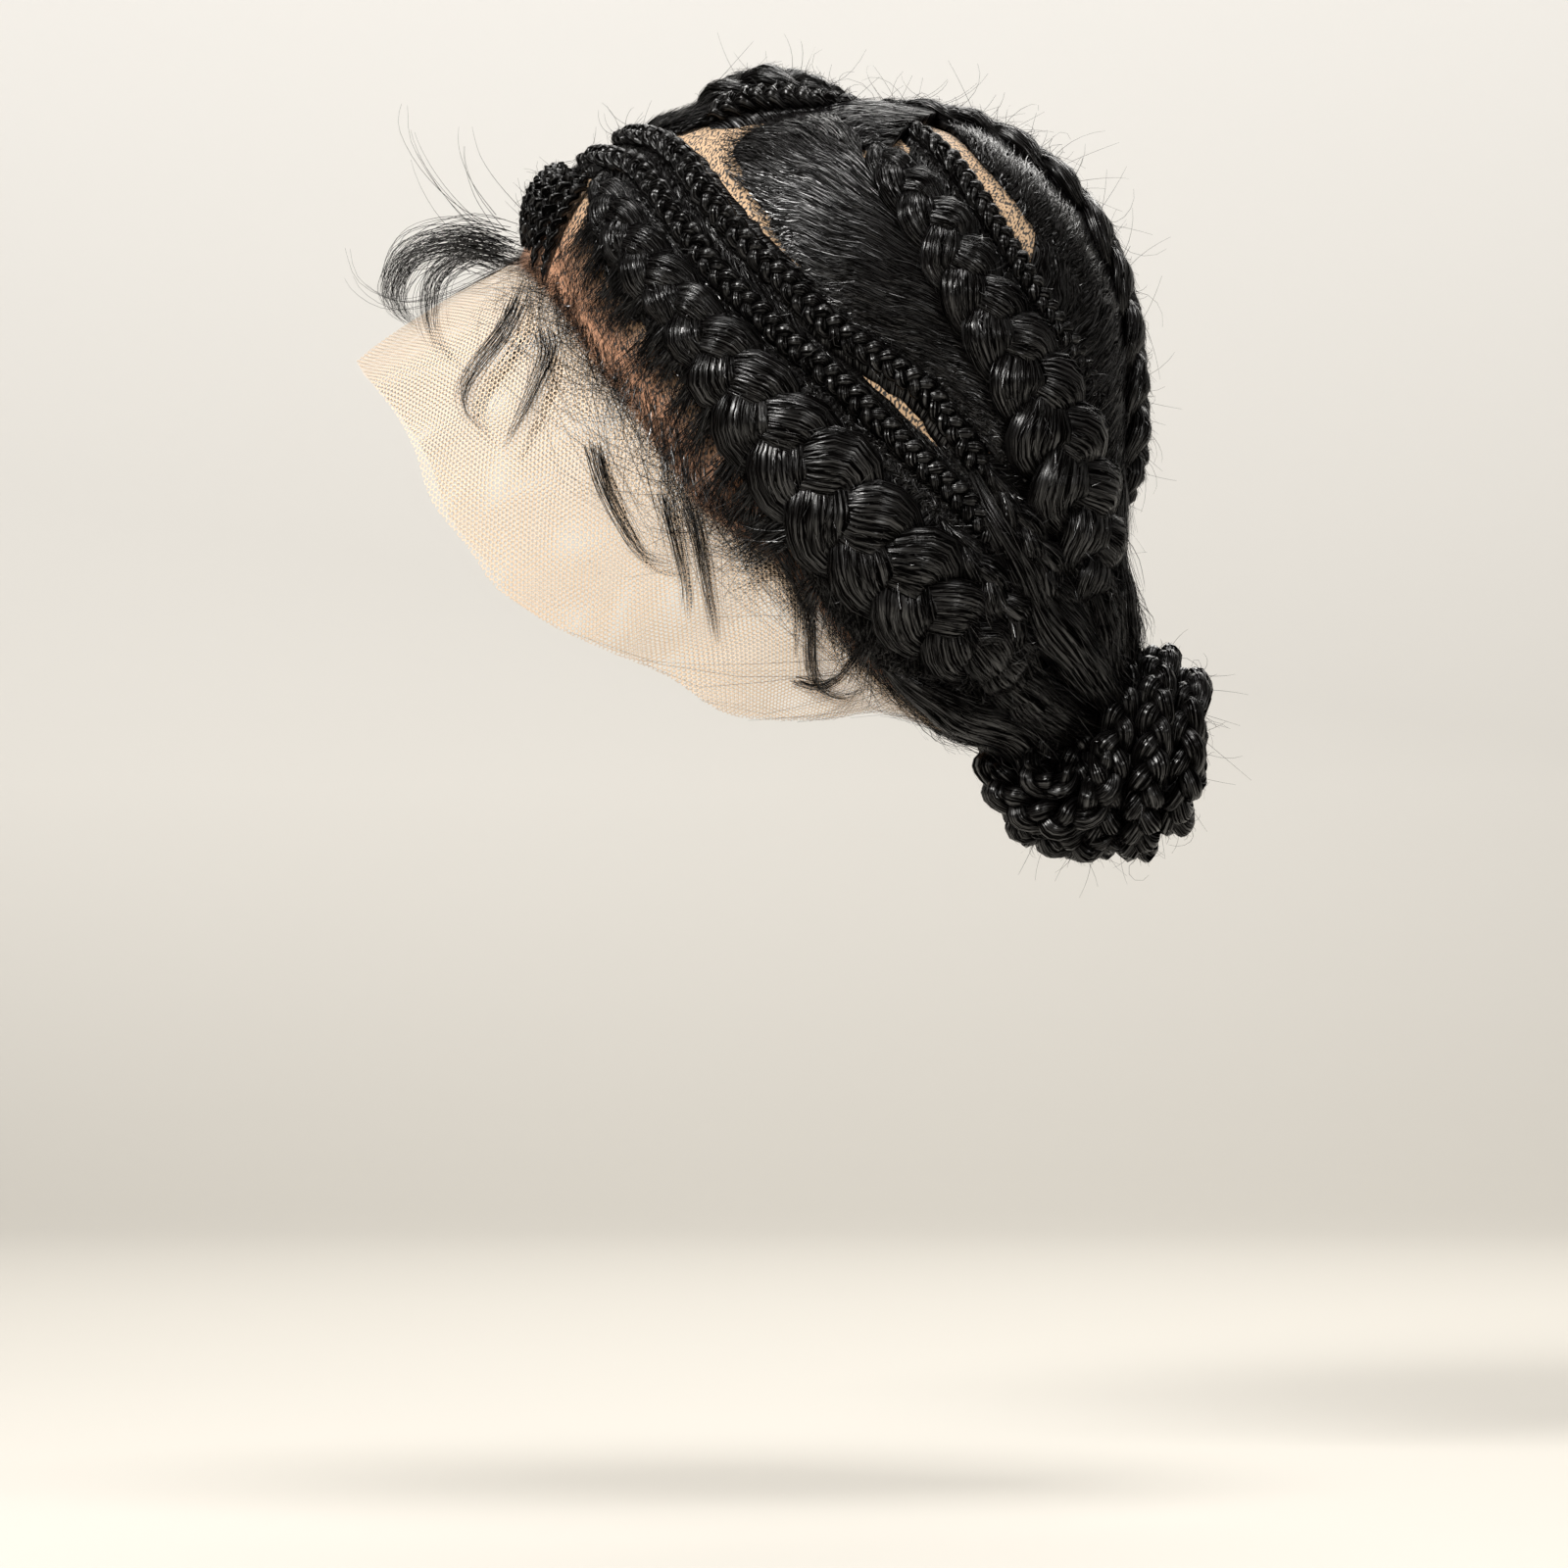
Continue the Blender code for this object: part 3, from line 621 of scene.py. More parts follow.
def hair_object(name: str, corners: np.ndarray, faces: np.ndarray,
                uvs: np.ndarray) -> bpy.types.Object:
    """Object from the arrays of its hairs.

    Args:
        name: name of the piece.
        corners: corners of the hairs.
        faces: four corner numbers for each face.
        uvs: number of the hair and share along it at each corner.

    Returns:
        The new object.
    """
    mesh = bpy.data.meshes.new(name)
    mesh.vertices.add(len(corners))
    mesh.vertices.foreach_set("co", corners.astype(np.float32).ravel())
    mesh.loops.add(faces.size)
    mesh.loops.foreach_set("vertex_index", faces.astype(np.int32).ravel())
    mesh.polygons.add(len(faces))
    mesh.polygons.foreach_set("loop_start", np.arange(0, faces.size, 4, dtype=np.int32))
    mesh.update(calc_edges=True)
    layer = mesh.uv_layers.new(name="hair")
    layer.data.foreach_set("uv", uvs[faces.ravel()].astype(np.float32).ravel())
    mesh.shade_smooth()
    return put(name, mesh)


@dataclass(frozen=True)
class PlaitKind:
    """Proportions of a three-ply plait, as shares of its half width and height."""

    least_lobe: float
    lobe: float
    swing: float
    girth: float
    rise: float
    depth: float
    stations: int
    around: int
    ridge: float


class Weave(Enum):
    """The ways that the wig's hair is plaited."""

    BRAID = PlaitKind(0.0062, 0.70, 0.47, 0.60, 0.19, 0.35, 11, 22, 0.045)
    ROW = PlaitKind(0.0048, 0.04, 0.60, 0.44, 0.24, 0.36, 8, 9, 0.0)
    CORD = PlaitKind(0.0098, 0.0, 0.58, 0.56, 0.20, 0.36, 11, 13, 0.05)
    LOOSE = PlaitKind(0.0120, 0.30, 0.40, 0.62, 0.14, 0.40, 10, 15, 0.09)
    TWIST = PlaitKind(0.0042, 0.06, 0.54, 0.44, 0.20, 0.36, 7, 8, 0.0)


class Plies:
    """Three plies of hair that cross over each other along a route."""

    def __init__(self, route: Route, kind: PlaitKind, seed: float, ends: bool = True) -> None:
        """Space the lobes along the route.

        Args:
            route: path of the plait.
            kind: proportions of the plait.
            seed: number that varies the plies.
            ends: whether the plait tapers at its two ends.
        """
        self.route, self.kind, self.seed, self.ends = route, kind, seed, ends
        self.run = np.linspace(0.0, route.length, 1600)
        half = route.read(route.half, self.run)
        self.lobe = kind.least_lobe + kind.lobe * half
        step = self.run[1] - self.run[0]
        turn = np.concatenate([[0.0], np.cumsum(2.0 * math.pi / (3.0 * self.lobe[:-1]) * step)])
        if not ends:
            turn *= round(turn[-1] / (2.0 * math.pi)) * 2.0 * math.pi / turn[-1]
        self.turn = turn
        self.last = float(turn[-1])

    def centre(self, turn: np.ndarray, ply: np.ndarray | int) -> tuple[np.ndarray, ...]:
        """Middle line of a ply.

        Args:
            turn: phase along the plait.
            ply: number of the ply.

        Returns:
            Distance along, place across, height, half width, half height and fade.
        """
        kind = self.kind
        s = np.interp(turn, self.turn, self.run)
        w = self.route.read(self.route.half, s)
        h = self.route.read(self.route.tall, s)
        t = turn + 2.0 * math.pi * ply / 3.0
        fade = np.ones_like(s)
        if self.ends:
            lobe = np.interp(s, self.run, self.lobe)
            near = np.clip(np.minimum(s, self.route.length - s) / (1.1 * lobe), 0.0, 1.0)
            fade = near ** 0.6
        uneven = 1.0 + 0.07 * ripple(turn * 0.9 + ply * 2.1, self.seed)
        x = kind.swing * w * np.sin(t) * (0.35 + 0.65 * fade) * uneven
        x = x + 0.05 * w * ripple(turn * 0.7, self.seed + 3.0)
        crown = 0.07 * np.cos(t) ** 2
        z = h * (0.49 + kind.rise * np.sin(2.0 * t) + crown)
        a = kind.girth * w * (0.84 + 0.16 * np.sin(2.0 * t)) * (0.04 + 0.96 * fade) * uneven
        b = kind.depth * h * (0.88 + 0.12 * np.sin(2.0 * t)) * (0.10 + 0.90 * fade)
        return s, x, z, a, b, fade

    def surface(self, turn: np.ndarray, phi: np.ndarray, ply: np.ndarray | int,
                lift: np.ndarray | float = 0.0) -> np.ndarray:
        """Places on a ply's surface.

        Args:
            turn: phase along the plait.
            phi: angle around the ply, a quarter turn at its top.
            ply: number of the ply.
            lift: height above the surface.

        Returns:
            The places in space.
        """
        step = 0.02
        s0, x0 = self.centre(np.clip(turn - step, 0.0, self.last), ply)[:2]
        s1, x1 = self.centre(np.clip(turn + step, 0.0, self.last), ply)[:2]
        s, x, z, a, b, fade = self.centre(turn, ply)
        run, slide = s1 - s0, x1 - x0
        length = np.maximum(np.hypot(run, slide), 1e-9)
        rough = 1.0
        if self.kind.ridge:
            rough = 1.0 + self.kind.ridge * (
                np.sin(5 * phi + 1.3 * turn + self.seed)
                + 0.8 * np.sin(8 * phi - 0.8 * turn + 2.0 * self.seed)
                + 0.7 * np.sin(11 * phi + 1.9 * turn + 3.1 * self.seed)
            )
        wide = (a * rough + lift) * np.cos(phi)
        high = (b * rough + lift) * np.sign(np.sin(phi)) * np.abs(np.sin(phi)) ** 0.9
        along = s - wide * slide / length
        across = x + wide * run / length
        up = np.maximum(z + high, 0.0002)
        return self.route.at(along, across, up)

    def patches(self) -> list[Patch]:
        """Closed tube of each of the three plies.

        Returns:
            One tube for each ply.
        """
        kind = self.kind
        lobes = self.last / (2.0 * math.pi) * 3.0
        stations = max(int(lobes * kind.stations / 3.0 * 1.6), 12)
        turn = np.linspace(0.0, self.last, stations)[:, None]
        phi = np.linspace(0.0, 2.0 * math.pi, kind.around + 1)[None, :]
        made = []
        for ply in range(3):
            shape = turn + 0.0 * phi
            points = self.surface(shape, phi + 0.0 * turn, ply)
            middle = points.mean(axis=1)
            gaps = np.linalg.norm(np.diff(middle, axis=0), axis=1)
            run = np.concatenate([[0.0], np.cumsum(gaps)])
            girth = self.centre(turn[:, 0], ply)[3].max()
            uv = np.stack([run[:, None] + 0.0 * phi + ply * 0.7, phi * girth + 0.0 * turn], -1)
            made.append(Patch(points, uv))
        return made

    def hairs(self, count: int, steps: int, reach: tuple[float, float], lift: float,
              rng: np.random.Generator) -> tuple[np.ndarray, np.ndarray]:
        """Hairs that lie along the plies and lift a little towards their tips.

        Args:
            count: how many hairs.
            steps: places along each hair.
            reach: least and most of the phase that a hair covers.
            lift: height of the tips above the ply.
            rng: source of the variation.

        Returns:
            The hairs and the directions that they face.
        """
        ply = rng.integers(0, 3, count)[:, None]
        start = rng.uniform(0.0, max(self.last - reach[1], 0.1), count)[:, None]
        span = rng.uniform(reach[0], reach[1], count)[:, None]
        share = np.linspace(0.0, 1.0, steps)[None, :]
        phi = rng.uniform(0.05, math.pi - 0.05, count)[:, None]
        sway = rng.uniform(-0.35, 0.35, count)[:, None]
        raised = 0.00008 + lift * rng.uniform(0.0, 1.0, count)[:, None] ** 2.0 * share ** 2
        turn = start + span * share
        paths = self.surface(turn, phi + sway * share, ply, raised)
        above = self.surface(turn, phi + sway * share, ply, raised + 0.001)
        return paths, unit(above - paths)


class Lock:
    """Loose lock of hair that follows a curve, flattened against what is under it."""

    def __init__(self, table: Rows, half_width: float, thickness: float, seed: float) -> None:
        """Lay the lock out.

        Args:
            table: places in millimetres, then shares of half width and thickness.
            half_width: widest half width in metres.
            thickness: greatest thickness in metres.
            seed: number that varies the lock.
        """
        rows = smooth_rows(table, 60)
        points = rows[:, :3] / 1000.0
        base, self.normals = HEAD.project(points)
        gap = ((points - base) * self.normals).sum(-1, keepdims=True)
        self.wide, self.thick = half_width * rows[:, 3], thickness * rows[:, 4]
        rise = np.maximum(self.thick[:, None] * 0.45 - gap, 0.0)
        self.points = points + self.normals * rise
        self.sides = unit(np.cross(np.gradient(self.points, axis=0), self.normals))
        steps = np.linalg.norm(np.diff(self.points, axis=0), axis=1)
        self.length, self.seed = float(steps.sum()), seed

    def surface(self, share: np.ndarray, phi: np.ndarray, lift: np.ndarray | float = 0.0
                ) -> np.ndarray:
        """Places on the lock.

        Args:
            share: share along it.
            phi: angle around it, a quarter turn at its top.
            lift: height above the lock.

        Returns:
            The places in space.
        """
        knots = np.linspace(0.0, 1.0, 60)
        wide, thick = np.interp(share, knots, self.wide), np.interp(share, knots, self.thick)
        wave = 1.0 + 0.10 * ripple(share * 9.0, self.seed) + 0.05 * np.sin(
            7.0 * phi + 4.0 * share + self.seed)
        shift = 0.16 * wide * ripple(share * 5.0, self.seed + 2.0)
        across = (wide * wave + lift) * np.cos(phi) + shift
        up = (thick * 0.5 * wave + lift) * np.sin(phi)
        points = between(share, self.points) + between(share, self.sides) * across[..., None]
        points = points + between(share, self.normals) * up[..., None]
        base, normals = HEAD.project(points)
        above = ((points - base) * normals).sum(-1, keepdims=True)
        return points + normals * np.maximum(LACE_TOP + 0.0004 - above, 0.0)

    def patch(self) -> Patch:
        """Closed tube of the lock.

        Returns:
            The tube.
        """
        share = np.linspace(0.0, 1.0, 34)[:, None]
        phi = np.linspace(0.0, 2.0 * math.pi, 19)[None, :]
        points = self.surface(share + 0.0 * phi, phi + 0.0 * share)
        uv = np.stack([share * self.length + 0.0 * phi, phi * self.wide.max() + 0.0 * share], -1)
        return Patch(points, uv)

    def hairs(self, count: int, rng: np.random.Generator) -> tuple[np.ndarray, np.ndarray]:
        """Fuzzy hairs along the lock.

        Args:
            count: how many hairs.
            rng: source of the variation.

        Returns:
            The hairs and the directions that they face.
        """
        start = rng.uniform(-0.05, 0.85, count)[:, None]
        span = rng.uniform(0.15, 0.55, count)[:, None]
        along = np.linspace(0.0, 1.0, 6)[None, :]
        share = np.clip(start + span * along, 0.0, 1.0)
        phi = rng.uniform(-0.3, math.pi + 0.3, count)[:, None] + rng.normal(
            0.0, 0.6, count)[:, None] * along
        lift = 0.0002 + 0.0060 * rng.uniform(0.0, 1.0, count)[:, None] ** 2.5 * along ** 1.5
        paths = self.surface(share, phi, lift)
        curl = np.sin(along * rng.uniform(2.0, 6.0, count)[:, None])[..., None]
        paths = paths + rng.normal(0.0, 0.0016, (count, 1, 3)) * curl
        return paths, unit(self.surface(share, phi, lift + 0.001) - paths)


class Graph:
    """Nodes of a new material, whose inputs are set or linked in one step."""

    def __init__(self, name: str) -> None:
        """Start the material.

        Args:
            name: name of the material.
        """
        self.material = bpy.data.materials.new(name)
        self.material.use_nodes = True
        self.tree = self.material.node_tree
        self.shader = self.tree.nodes["Principled BSDF"]

    def feed(self, node: bpy.types.Node, feeds: dict[str | int, Feed]) -> bpy.types.Node:
        """Set or link some inputs of a node.

        Args:
            node: the node.
            feeds: names or numbers of inputs, each with a value or the output that feeds it.

        Returns:
            The node.
        """
        for key, value in feeds.items():
            if isinstance(value, bpy.types.NodeSocket):
                self.tree.links.new(value, node.inputs[key])
            else:
                node.inputs[key].default_value = value
        return node

    def node(self, kind: str, feeds: dict[str | int, Feed]) -> bpy.types.Node:
        """New node of a kind with some inputs set or linked."""
        return self.feed(self.tree.nodes.new("ShaderNode" + kind), feeds)

    def hair_map(self) -> bpy.types.NodeSocket:
        """The piece's own map along and across its hair.

        Returns:
            The map's place at each point.
        """
        place = self.node("UVMap", {})
        place.uv_map = "hair"
        return place.outputs["UV"]

    def noise(self, scale: tuple[float, float, float], detail: float) -> bpy.types.NodeSocket:
        """Noise stretched along the hair.

        Args:
            scale: repeats a metre along and across the hair.
            detail: detail of the noise.

        Returns:
            The noise's height.
        """
        place = self.node("Mapping", {"Vector": self.hair_map(), "Scale": scale})
        feeds = {"Vector": place.outputs["Vector"], "Scale": 1.0, "Detail": detail,
                 "Roughness": 0.62}
        return self.node("TexNoise", feeds).outputs["Fac"]

    def ramp(self, value: bpy.types.NodeSocket, start: float, end: float, low: float = 0.0,
             high: float = 1.0) -> bpy.types.NodeSocket:
        """Value that runs from one level to another as its source runs between two.

        Args:
            value: the source.
            start: source at the low level.
            end: source at the high level.
            low: the low level.
            high: the high level.

        Returns:
            The new value.
        """
        feeds = {"Value": value, "From Min": start, "From Max": end, "To Min": low,
                 "To Max": high}
        return self.node("MapRange", feeds).outputs["Result"]

    def tones(self, value: bpy.types.NodeSocket, *stops: tuple[float, Colour]
              ) -> bpy.types.NodeSocket:
        """Colour that changes with a value.

        Args:
            value: the value.
            stops: values in rising order, each with its colour.

        Returns:
            The colour.
        """
        node = self.node("ValToRGB", {"Fac": value})
        elements = node.color_ramp.elements
        for element, (place, colour) in zip(tuple(elements), (stops[0], stops[-1])):
            element.position = place
            element.color = (*colour, 1.0)
        for place, colour in stops[1:-1]:
            elements.new(place).color = (*colour, 1.0)
        return node.outputs["Color"]

    def blend(self, share: bpy.types.NodeSocket, *colours: bpy.types.NodeSocket | Colour
              ) -> bpy.types.NodeSocket:
        """Mix of two colours.

        Args:
            share: share of the second colour.
            colours: the two colours, or the outputs that give them.

        Returns:
            The mixed colour.
        """
        feeds = {0: share}
        for number, colour in zip((6, 7), colours):
            linked = isinstance(colour, bpy.types.NodeSocket)
            feeds[number] = colour if linked else (*colour, 1.0)
        mix = self.tree.nodes.new("ShaderNodeMix")
        mix.data_type = "RGBA"
        return self.feed(mix, feeds).outputs[2]

    def sum(self, operation: str, *values: bpy.types.NodeSocket) -> bpy.types.NodeSocket:
        """Result of one sum on some values.

        Args:
            operation: kind of sum, such as ADD.
            values: outputs that the sum is made of.

        Returns:
            The result.
        """
        node = self.node("Math", dict(enumerate(values)))
        node.operation = operation
        return node.outputs["Value"]

    def bump(self, height: bpy.types.NodeSocket, strength: float, distance: float) -> None:
        """Give the shader a bump of some height in metres."""
        feeds = {"Height": height, "Strength": strength, "Distance": distance}
        self.feed(self.shader, {"Normal": self.node("Bump", feeds).outputs["Normal"]})


@dataclass(frozen=True)
class HairFinish:
    """Near-black hair with fine streaks along its own length."""

    name: str = "dark_hair"
    dark: Colour = (0.0007, 0.0006, 0.0006)
    light: Colour = (0.0052, 0.0046, 0.0043)
    shine: float = 1.05
    roughness: float = 0.27
    streaks: float = 950.0
    clumps: float = 300.0
    bump: float = 0.00042

    def material(self) -> bpy.types.Material:
        """Material whose streaks follow the piece's own hair map.

        Returns:
            The material.
        """
        graph = Graph(self.name)
        fine = graph.noise((60.0, self.streaks, 1.0), 2.0)
        clump = graph.noise((40.0, self.clumps, 1.0), 2.0)
        grain = graph.node("Tangent", {})
        grain.direction_type = "UV_MAP"
        grain.uv_map = "hair"
        graph.feed(graph.shader, {
            "Anisotropic": 0.7,
            "Anisotropic Rotation": 0.25,
            "Tangent": grain.outputs["Tangent"],
            "Specular IOR Level": graph.ramp(fine, 0.47, 0.70, 0.0, self.shine),
            "Roughness": graph.ramp(clump, 0.0, 1.0, self.roughness - 0.06, self.roughness + 0.14),
            "Base Color": graph.tones(fine, (0.38, self.dark), (0.78, self.light)),
        })
        graph.bump(graph.sum("ADD", fine, clump), 0.9, self.bump)
        return graph.material


@dataclass(frozen=True)
class StrandFinish:
    """Single hairs, each a little different in tone."""

    name: str = "loose_hair"
    dark: Colour = (0.0010, 0.0009, 0.0008)
    light: Colour = (0.0066, 0.0057, 0.0052)
    roughness: float = 0.30
    shine: float = 0.95

    def material(self) -> bpy.types.Material:
        """Material whose tone and gloss change from hair to hair and along each.

        Returns:
            The material.
        """
        graph = Graph(self.name)
        hair = graph.noise((4000.0, 3.0, 1.0), 1.0)
        graph.feed(graph.shader, {
            "Roughness": self.roughness,
            "Specular IOR Level": graph.ramp(hair, 0.46, 0.72, 0.02, self.shine),
            "Base Color": graph.tones(hair, (0.40, self.dark), (0.80, self.light)),
        })
        return graph.material


@dataclass(frozen=True)
class LaceFinish:
    """Nude hexagonal net, see-through in its margin and knotted with hair on the dome."""

    name: str = "nude_lace"
    thread: Colour = (0.62, 0.47, 0.33)
    ground: Colour = (0.43, 0.285, 0.165)
    edge: Colour = (0.40, 0.20, 0.11)
    knot: Colour = (0.016, 0.012, 0.009)
    cell: float = 0.0016
    threads: float = -0.85

    def material(self) -> bpy.types.Material:
        """Material whose net follows the lace's own map: along the hair edge, then out.

        Returns:
            The material.
        """
        graph = Graph(self.name)
        place = graph.hair_map()
        pitch = 2.0 * math.pi / (self.cell * math.cos(math.radians(30.0)))
        waves = []
        for turn in (15.0, 75.0, 135.0):
            angle = math.radians(turn)
            way = (pitch * math.cos(angle), pitch * math.sin(angle), 0.0)
            dot = graph.node("VectorMath", {0: place, 1: way})
            dot.operation = "DOT_PRODUCT"
            waves.append(graph.sum("COSINE", dot.outputs["Value"]))
        total = graph.sum("ADD", graph.sum("ADD", waves[0], waves[1]), waves[2])
        net = graph.ramp(total, self.threads + 0.25, self.threads - 0.25)
        out = graph.node("SeparateXYZ", {"Vector": place}).outputs["Y"]
        dome = graph.ramp(out, 0.0015, -0.0005)
        dashes = graph.noise((1150.0, 620.0, 1.0), 0.5)
        knots = graph.sum("ADD", dashes, graph.ramp(out, 0.010, -0.012, -0.30, 0.015))
        weave = graph.blend(graph.ramp(out, -0.004, 0.006), self.ground, self.thread)
        rim = graph.sum("MULTIPLY", graph.ramp(out, -0.034, -0.012), graph.ramp(out, 0.004, 0.0))
        skin = graph.blend(rim, weave, self.edge)
        graph.feed(graph.shader, {
            "Roughness": 0.7,
            "Sheen Weight": 0.15,
            "Alpha": graph.sum("MAXIMUM", net, dome),
            "Base Color": graph.blend(graph.ramp(knots, 0.48, 0.60), skin, self.knot),
        })
        graph.bump(net, 0.4, 0.0002)
        return graph.material


@dataclass
class Finishes:
    """The wig's materials, made once and shared."""

    hair: bpy.types.Material = field(default_factory=lambda: HairFinish().material())
    row: bpy.types.Material = field(default_factory=lambda: HairFinish(
        name="thin_row_hair", streaks=1300.0, clumps=500.0, bump=0.00026).material())
    combed: bpy.types.Material = field(default_factory=lambda: HairFinish(
        name="combed_hair", streaks=1150.0, clumps=260.0, bump=0.00050, shine=0.50,
        roughness=0.36).material())
    strand: bpy.types.Material = field(default_factory=lambda: StrandFinish().material())
    lace: bpy.types.Material = field(default_factory=lambda: LaceFinish().material())


def dress(item: bpy.types.Object, finish: bpy.types.Material, slot: str, *nodes: str
          ) -> bpy.types.Object:
    """Give a piece its finish and let it stand for its CAD nodes.

    Args:
        item: the piece.
        finish: its material.
        slot: the record's material slot; not used.
        nodes: CAD nodes that it stands for.

    Returns:
        The piece.
    """
    item.data.materials.clear()
    item.data.materials.append(finish)
    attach(item, "root")
    if nodes:
        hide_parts(*nodes)
    LOG.info("%s: %d faces", item.name, len(item.data.polygons))
    return item


@dataclass
class LaceBase:
    """Lace dome from the crown to the hair edge, with its uncut margin beyond."""

    reach: float = 0.047
    columns: int = 160
    dome_rings: int = 40
    margin_rings: int = 22
    lift: float = 0.0006
    grid: np.ndarray = field(default_factory=lambda: np.zeros((0, 0, 3)))
    leans: np.ndarray = field(default_factory=lambda: np.zeros((0, 0, 3)))

    def half_columns(self) -> tuple[np.ndarray, np.ndarray]:
        """Columns of the left half, from the crown out to the cut edge.

        Returns:
            The places and outward directions: column by ring by space.
        """
        rows = smooth_rows(EDGES, self.columns // 2 + 1)
        hair = rows[:, :3]
        turn = np.arccos(hair[:, 2] / np.linalg.norm(hair, axis=1))
        flat = unit(hair * np.array([1.0, 1.0, 0.0]))
        share = np.linspace(0.0, 1.0, self.dome_rings + 1)[None, :, None]
        angle = turn[:, None, None] * share
        way = flat[:, None, :] * np.sin(angle) + np.array([0.0, 0.0, 1.0]) * np.cos(angle)
        dome, leans = HEAD.place(way)
        rise = np.where(rows[:, 5] >= 0.0, HEAD.crown_rise, HEAD.nape_drop)
        beyond = np.minimum(rows[:, 4] + 1.0, 0.0)
        edge = np.stack([
            rows[:, 3] * HEAD.half_width,
            np.maximum(rows[:, 4], -1.0) * HEAD.half_length + beyond * self.reach,
            rows[:, 5] * rise - HEAD.crown_rise,
        ], -1)
        start, lean = HEAD.place(hair)
        chord = edge - start
        length = np.linalg.norm(chord, axis=1, keepdims=True)
        away = unit(lean - chord * ((lean * chord).sum(1, keepdims=True) / length ** 2))
        bow = away * rows[:, 6:7] * length * 2.0
        t = np.linspace(0.0, 1.0, self.margin_rings + 1)[None, 1:, None]
        margin = start[:, None] + chord[:, None] * t + bow[:, None] * (t * (1.0 - t) * 2.0)
        along = np.arange(len(rows))[:, None] * 0.21
        sway = ripple(along + 2.2 * t[..., 0], 1.7) * 0.0011 * t[..., 0] ** 1.3
        margin = margin + away[:, None] * sway[..., None]
        out = unit(lean[:, None] * (1.0 - t) + away[:, None] * t)
        return np.concatenate([dome, margin], 1), np.concatenate([leans, out], 1)

    def build(self, finishes: Finishes) -> bpy.types.Object:
        """Make the lace as one sheet.

        Args:
            finishes: the wig's materials.

        Returns:
            The lace.
        """
        places, leans = self.half_columns()
        flip = np.array([-1.0, 1.0, 1.0])
        self.grid = places + leans * self.lift
        self.leans = leans
        other = (self.grid * flip)[-2:0:-1]
        grid = np.concatenate([self.grid, other, self.grid[:1]])
        gaps = np.linalg.norm(np.diff(grid, axis=0), axis=2)
        across = np.concatenate([np.zeros((1, grid.shape[1])), np.cumsum(gaps, axis=0)])
        anchor = int(self.columns * 0.16)
        across = (across - across[anchor:anchor + 1])[:self.columns // 2 + 1]
        across = np.concatenate([across, across[-2:0:-1], across[:1]])
        steps = np.linalg.norm(np.diff(grid, axis=1), axis=2)
        out = np.concatenate([np.zeros((len(grid), 1)), np.cumsum(steps, axis=1)], 1)
        out = out - out[:, self.dome_rings:self.dome_rings + 1]
        rings = Patch(grid.transpose(1, 0, 2), np.stack([across, out], -1).transpose(1, 0, 2))
        item = patch_mesh("lace_sheet", [rings], Hand.MIDDLE, weld=False)
        bm = bmesh.new()
        bm.from_mesh(item.data)
        bmesh.ops.remove_doubles(bm, verts=bm.verts, dist=2e-6)
        bm.faces.ensure_lookup_table()
        if sum(f.normal.z * f.calc_area() for f in bm.faces) < 0.0:
            bmesh.ops.reverse_faces(bm, faces=bm.faces)
        bm.to_mesh(item.data)
        bm.free()
        dress(item, finishes.lace, "lace", "lace_base")
        return item

    def beside(self, back: np.ndarray, up: np.ndarray, out: np.ndarray | float) -> np.ndarray:
        """Places over the left half of the lace, as seen from its side.

        Args:
            back: places back from the crown seat.
            up: places up from the crown seat.
            out: height above the lace.

        Returns:
            The places in space.
        """
        flat = self.grid.reshape(-1, 3)
        leans = self.leans.reshape(-1, 3)
        gap = (flat[None, :, 1] - back[:, None]) ** 2 + (flat[None, :, 2] - up[:, None]) ** 2
        best = gap.argmin(axis=1)
        places = flat[best] + leans[best] * np.broadcast_to(out, back.shape)[:, None]
        return np.stack([places[:, 0], back, up], -1)


